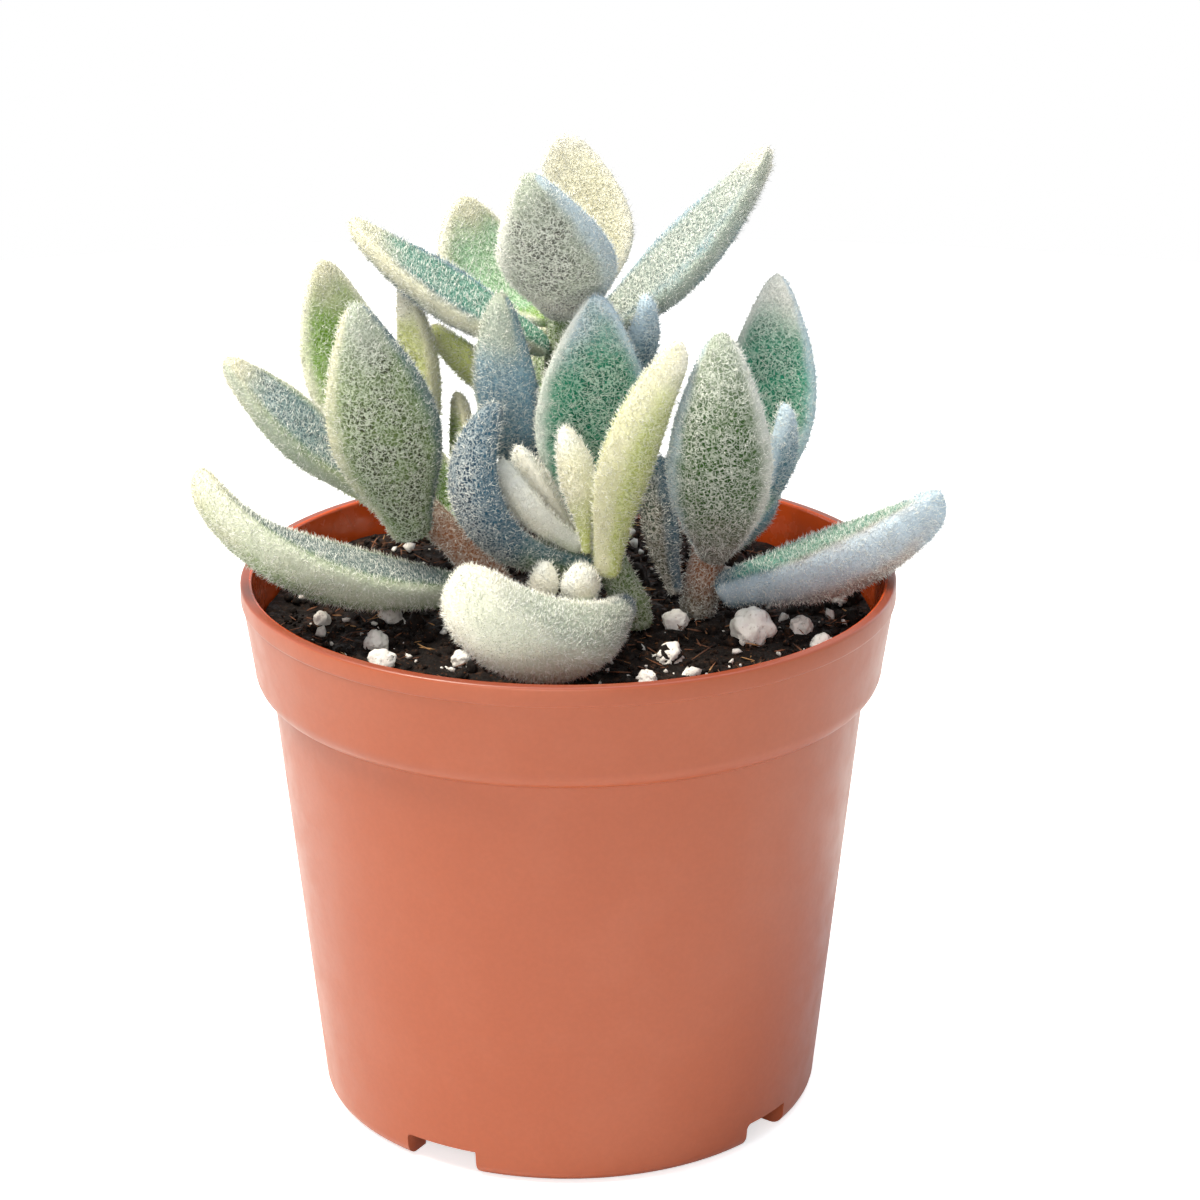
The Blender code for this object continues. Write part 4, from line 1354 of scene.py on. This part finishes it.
class KALANCHOE_OT_hairs(bpy.types.Operator):
    """Grow the short silvery hairs on every leaf and stem"""

    bl_idname = "kalanchoe.hairs"
    bl_label = "Hairs"

    def execute(self, context):
        settings = context.scene.kalanchoe_leaf
        rng = np.random.default_rng(settings.seed)
        finish = hair_finish(settings)
        for nodes, count in ((LEAF_NODES, settings.hairs), (STEM_NODES, settings.stem_hairs)):
            for node in nodes:
                skin = bpy.data.objects[node + "_skin"]
                hairs = hair_mesh(node + "_hairs", skin, settings, count * CM2_IN_A_M2, rng)
                dressed(hairs, finish, NODE_SLOT[node])
        return {"FINISHED"}


# Each lamp's place, width and height in metres, then its power in watts and its colour
Lamp = namedtuple("Lamp", "name place size power colour")
LAMPS = (
    Lamp("key", (-0.26, -0.06, 0.54), (0.2, 0.2), 4.4, (1.0, 0.93, 0.79)),
    Lamp("front", (-0.12, -0.64, 0.25), (0.45, 0.45), 2.2, (1.0, 0.985, 0.96)),
    Lamp("left strip", (-0.50, 0.18, 0.06), (0.12, 0.5), 0.35, (1.0, 0.98, 0.96)),
    Lamp("right strip", (0.42, 0.42, 0.16), (0.25, 0.5), 0.6, (0.86, 0.93, 1.0)),
    Lamp("top", (0.05, 0.10, 0.7), (0.6, 0.6), 2.4, (0.90, 0.95, 1.0)),
)
LAMPS_AIM = Vector((0, 0, 0.05))
AMBIENT_COLOUR = (0.88, 0.95, 1.0, 1)
FLOOR_RADIUS = 0.36
# The width that the lens setting is for, in millimetres, and the nearest that the camera sees
SENSOR_WIDTH = 36
NEAREST = 0.01


def lay_floor(settings):
    """A matt white disc that glows a little to the camera, so that it meets the white room."""
    bpy.ops.mesh.primitive_circle_add(vertices=96, radius=FLOOR_RADIUS, fill_type="NGON")
    floor = bpy.context.object
    floor.name = "floor"
    s = Shader("matt white floor")
    tone = s.mix(s.noise(0.4), settings.floor, srgb(244, 244, 245))
    seen = s.node("ShaderNodeLightPath").outputs["Is Camera Ray"]
    glow = s.math("MULTIPLY", seen, settings.glow)
    shine = {"Emission_Color": (1.0, 1.0, 1.0), "Emission_Strength": glow}
    floor.data.materials.append(s.finish(tone, 0.9, Specular_IOR_Level=0.1, **shine))


def set_camera(settings):
    camera = bpy.data.cameras.new("camera")
    camera.lens = settings.lens
    camera.sensor_width = SENSOR_WIDTH
    camera.clip_start = NEAREST
    view = linked("camera", camera)
    view.location = (0, -settings.distance, settings.height)
    view.rotation_euler = (math.radians(90) - settings.pitch, 0, -settings.yaw)
    bpy.context.scene.camera = view


def set_room(settings):
    """A soft bluish light from all round, in a room that looks white to the camera and in gloss."""
    world = bpy.data.worlds.new("soft white room")
    bpy.context.scene.world = world
    world.use_nodes = True
    nodes, links = world.node_tree.nodes, world.node_tree.links
    lit = nodes["Background"]
    lit.inputs["Color"].default_value = AMBIENT_COLOUR
    lit.inputs["Strength"].default_value = settings.ambient
    white = nodes.new("ShaderNodeBackground")
    white.inputs["Color"].default_value = (1, 1, 1, 1)
    path = nodes.new("ShaderNodeLightPath")
    either = nodes.new("ShaderNodeMath")
    either.operation = "MAXIMUM"
    choice = nodes.new("ShaderNodeMixShader")
    links.new(path.outputs["Is Camera Ray"], either.inputs[0])
    links.new(path.outputs["Is Glossy Ray"], either.inputs[1])
    for number, output in enumerate((either.outputs[0], lit.outputs[0], white.outputs[0])):
        links.new(output, choice.inputs[number])
    links.new(choice.outputs[0], nodes["World Output"].inputs["Surface"])


def hang_lamp(lamp):
    light = bpy.data.lights.new(lamp.name, "AREA")
    light.shape = "RECTANGLE"
    light.size, light.size_y = lamp.size
    light.energy = lamp.power
    light.color = lamp.colour
    obj = linked(lamp.name, light)
    obj.location = lamp.place
    obj.rotation_euler = (LAMPS_AIM - Vector(lamp.place)).to_track_quat("-Z", "Y").to_euler()


class KALANCHOE_OT_stage(bpy.types.Operator):
    """Lay the pale floor, and set the soft lights and the camera"""

    bl_idname = "kalanchoe.stage"
    bl_label = "Floor, lights and camera"

    def execute(self, context):
        settings = context.scene.kalanchoe_stage
        deselect_all()
        lay_floor(settings)
        set_camera(settings)
        set_room(settings)
        for lamp in LAMPS:
            hang_lamp(lamp)
        context.scene.view_settings.view_transform = "Standard"
        return {"FINISHED"}


SETTINGS = (
    ("kalanchoe_pot", PotSettings, "Pot"),
    ("kalanchoe_soil", SoilSettings, "Soil"),
    ("kalanchoe_leaf", LeafSettings, "Leaves"),
    ("kalanchoe_stage", StageSettings, "Stage"),
)
OPERATORS = (
    KALANCHOE_OT_pot,
    KALANCHOE_OT_soil,
    KALANCHOE_OT_crumbs,
    KALANCHOE_OT_perlite,
    KALANCHOE_OT_drops,
    KALANCHOE_OT_stems,
    KALANCHOE_OT_leaves,
    KALANCHOE_OT_hairs,
    KALANCHOE_OT_stage,
)


class KALANCHOE_PT_sidebar(bpy.types.Panel):
    """The potted kalanchoe's settings and steps"""

    bl_idname = "KALANCHOE_PT_sidebar"
    bl_label = "Potted kalanchoe"
    bl_space_type = "VIEW_3D"
    bl_region_type = "UI"
    bl_category = "Kalanchoe"

    def draw(self, context):
        for operator in OPERATORS:
            self.layout.operator(operator.bl_idname)
        for attribute, group, label in SETTINGS:
            box = self.layout.box()
            box.label(text=label)
            for name in group.__annotations__:
                box.prop(getattr(context.scene, attribute), name)


def register():
    for attribute, group, _ in SETTINGS:
        bpy.utils.register_class(group)
        setattr(bpy.types.Scene, attribute, bpy.props.PointerProperty(type=group))
    for operator in OPERATORS:
        bpy.utils.register_class(operator)
    bpy.utils.register_class(KALANCHOE_PT_sidebar)


def unregister():
    bpy.utils.unregister_class(KALANCHOE_PT_sidebar)
    for operator in reversed(OPERATORS):
        bpy.utils.unregister_class(operator)
    for attribute, group, _ in reversed(SETTINGS):
        delattr(bpy.types.Scene, attribute)
        bpy.utils.unregister_class(group)


def main():
    register()
    bpy.ops.kalanchoe.pot()
    bpy.ops.kalanchoe.soil()
    bpy.ops.kalanchoe.crumbs()
    bpy.ops.kalanchoe.perlite()
    bpy.ops.kalanchoe.drops()
    bpy.ops.kalanchoe.stems()
    bpy.ops.kalanchoe.leaves()
    bpy.ops.kalanchoe.hairs()
    bpy.ops.kalanchoe.stage()


if __name__ == "__main__":
    main()
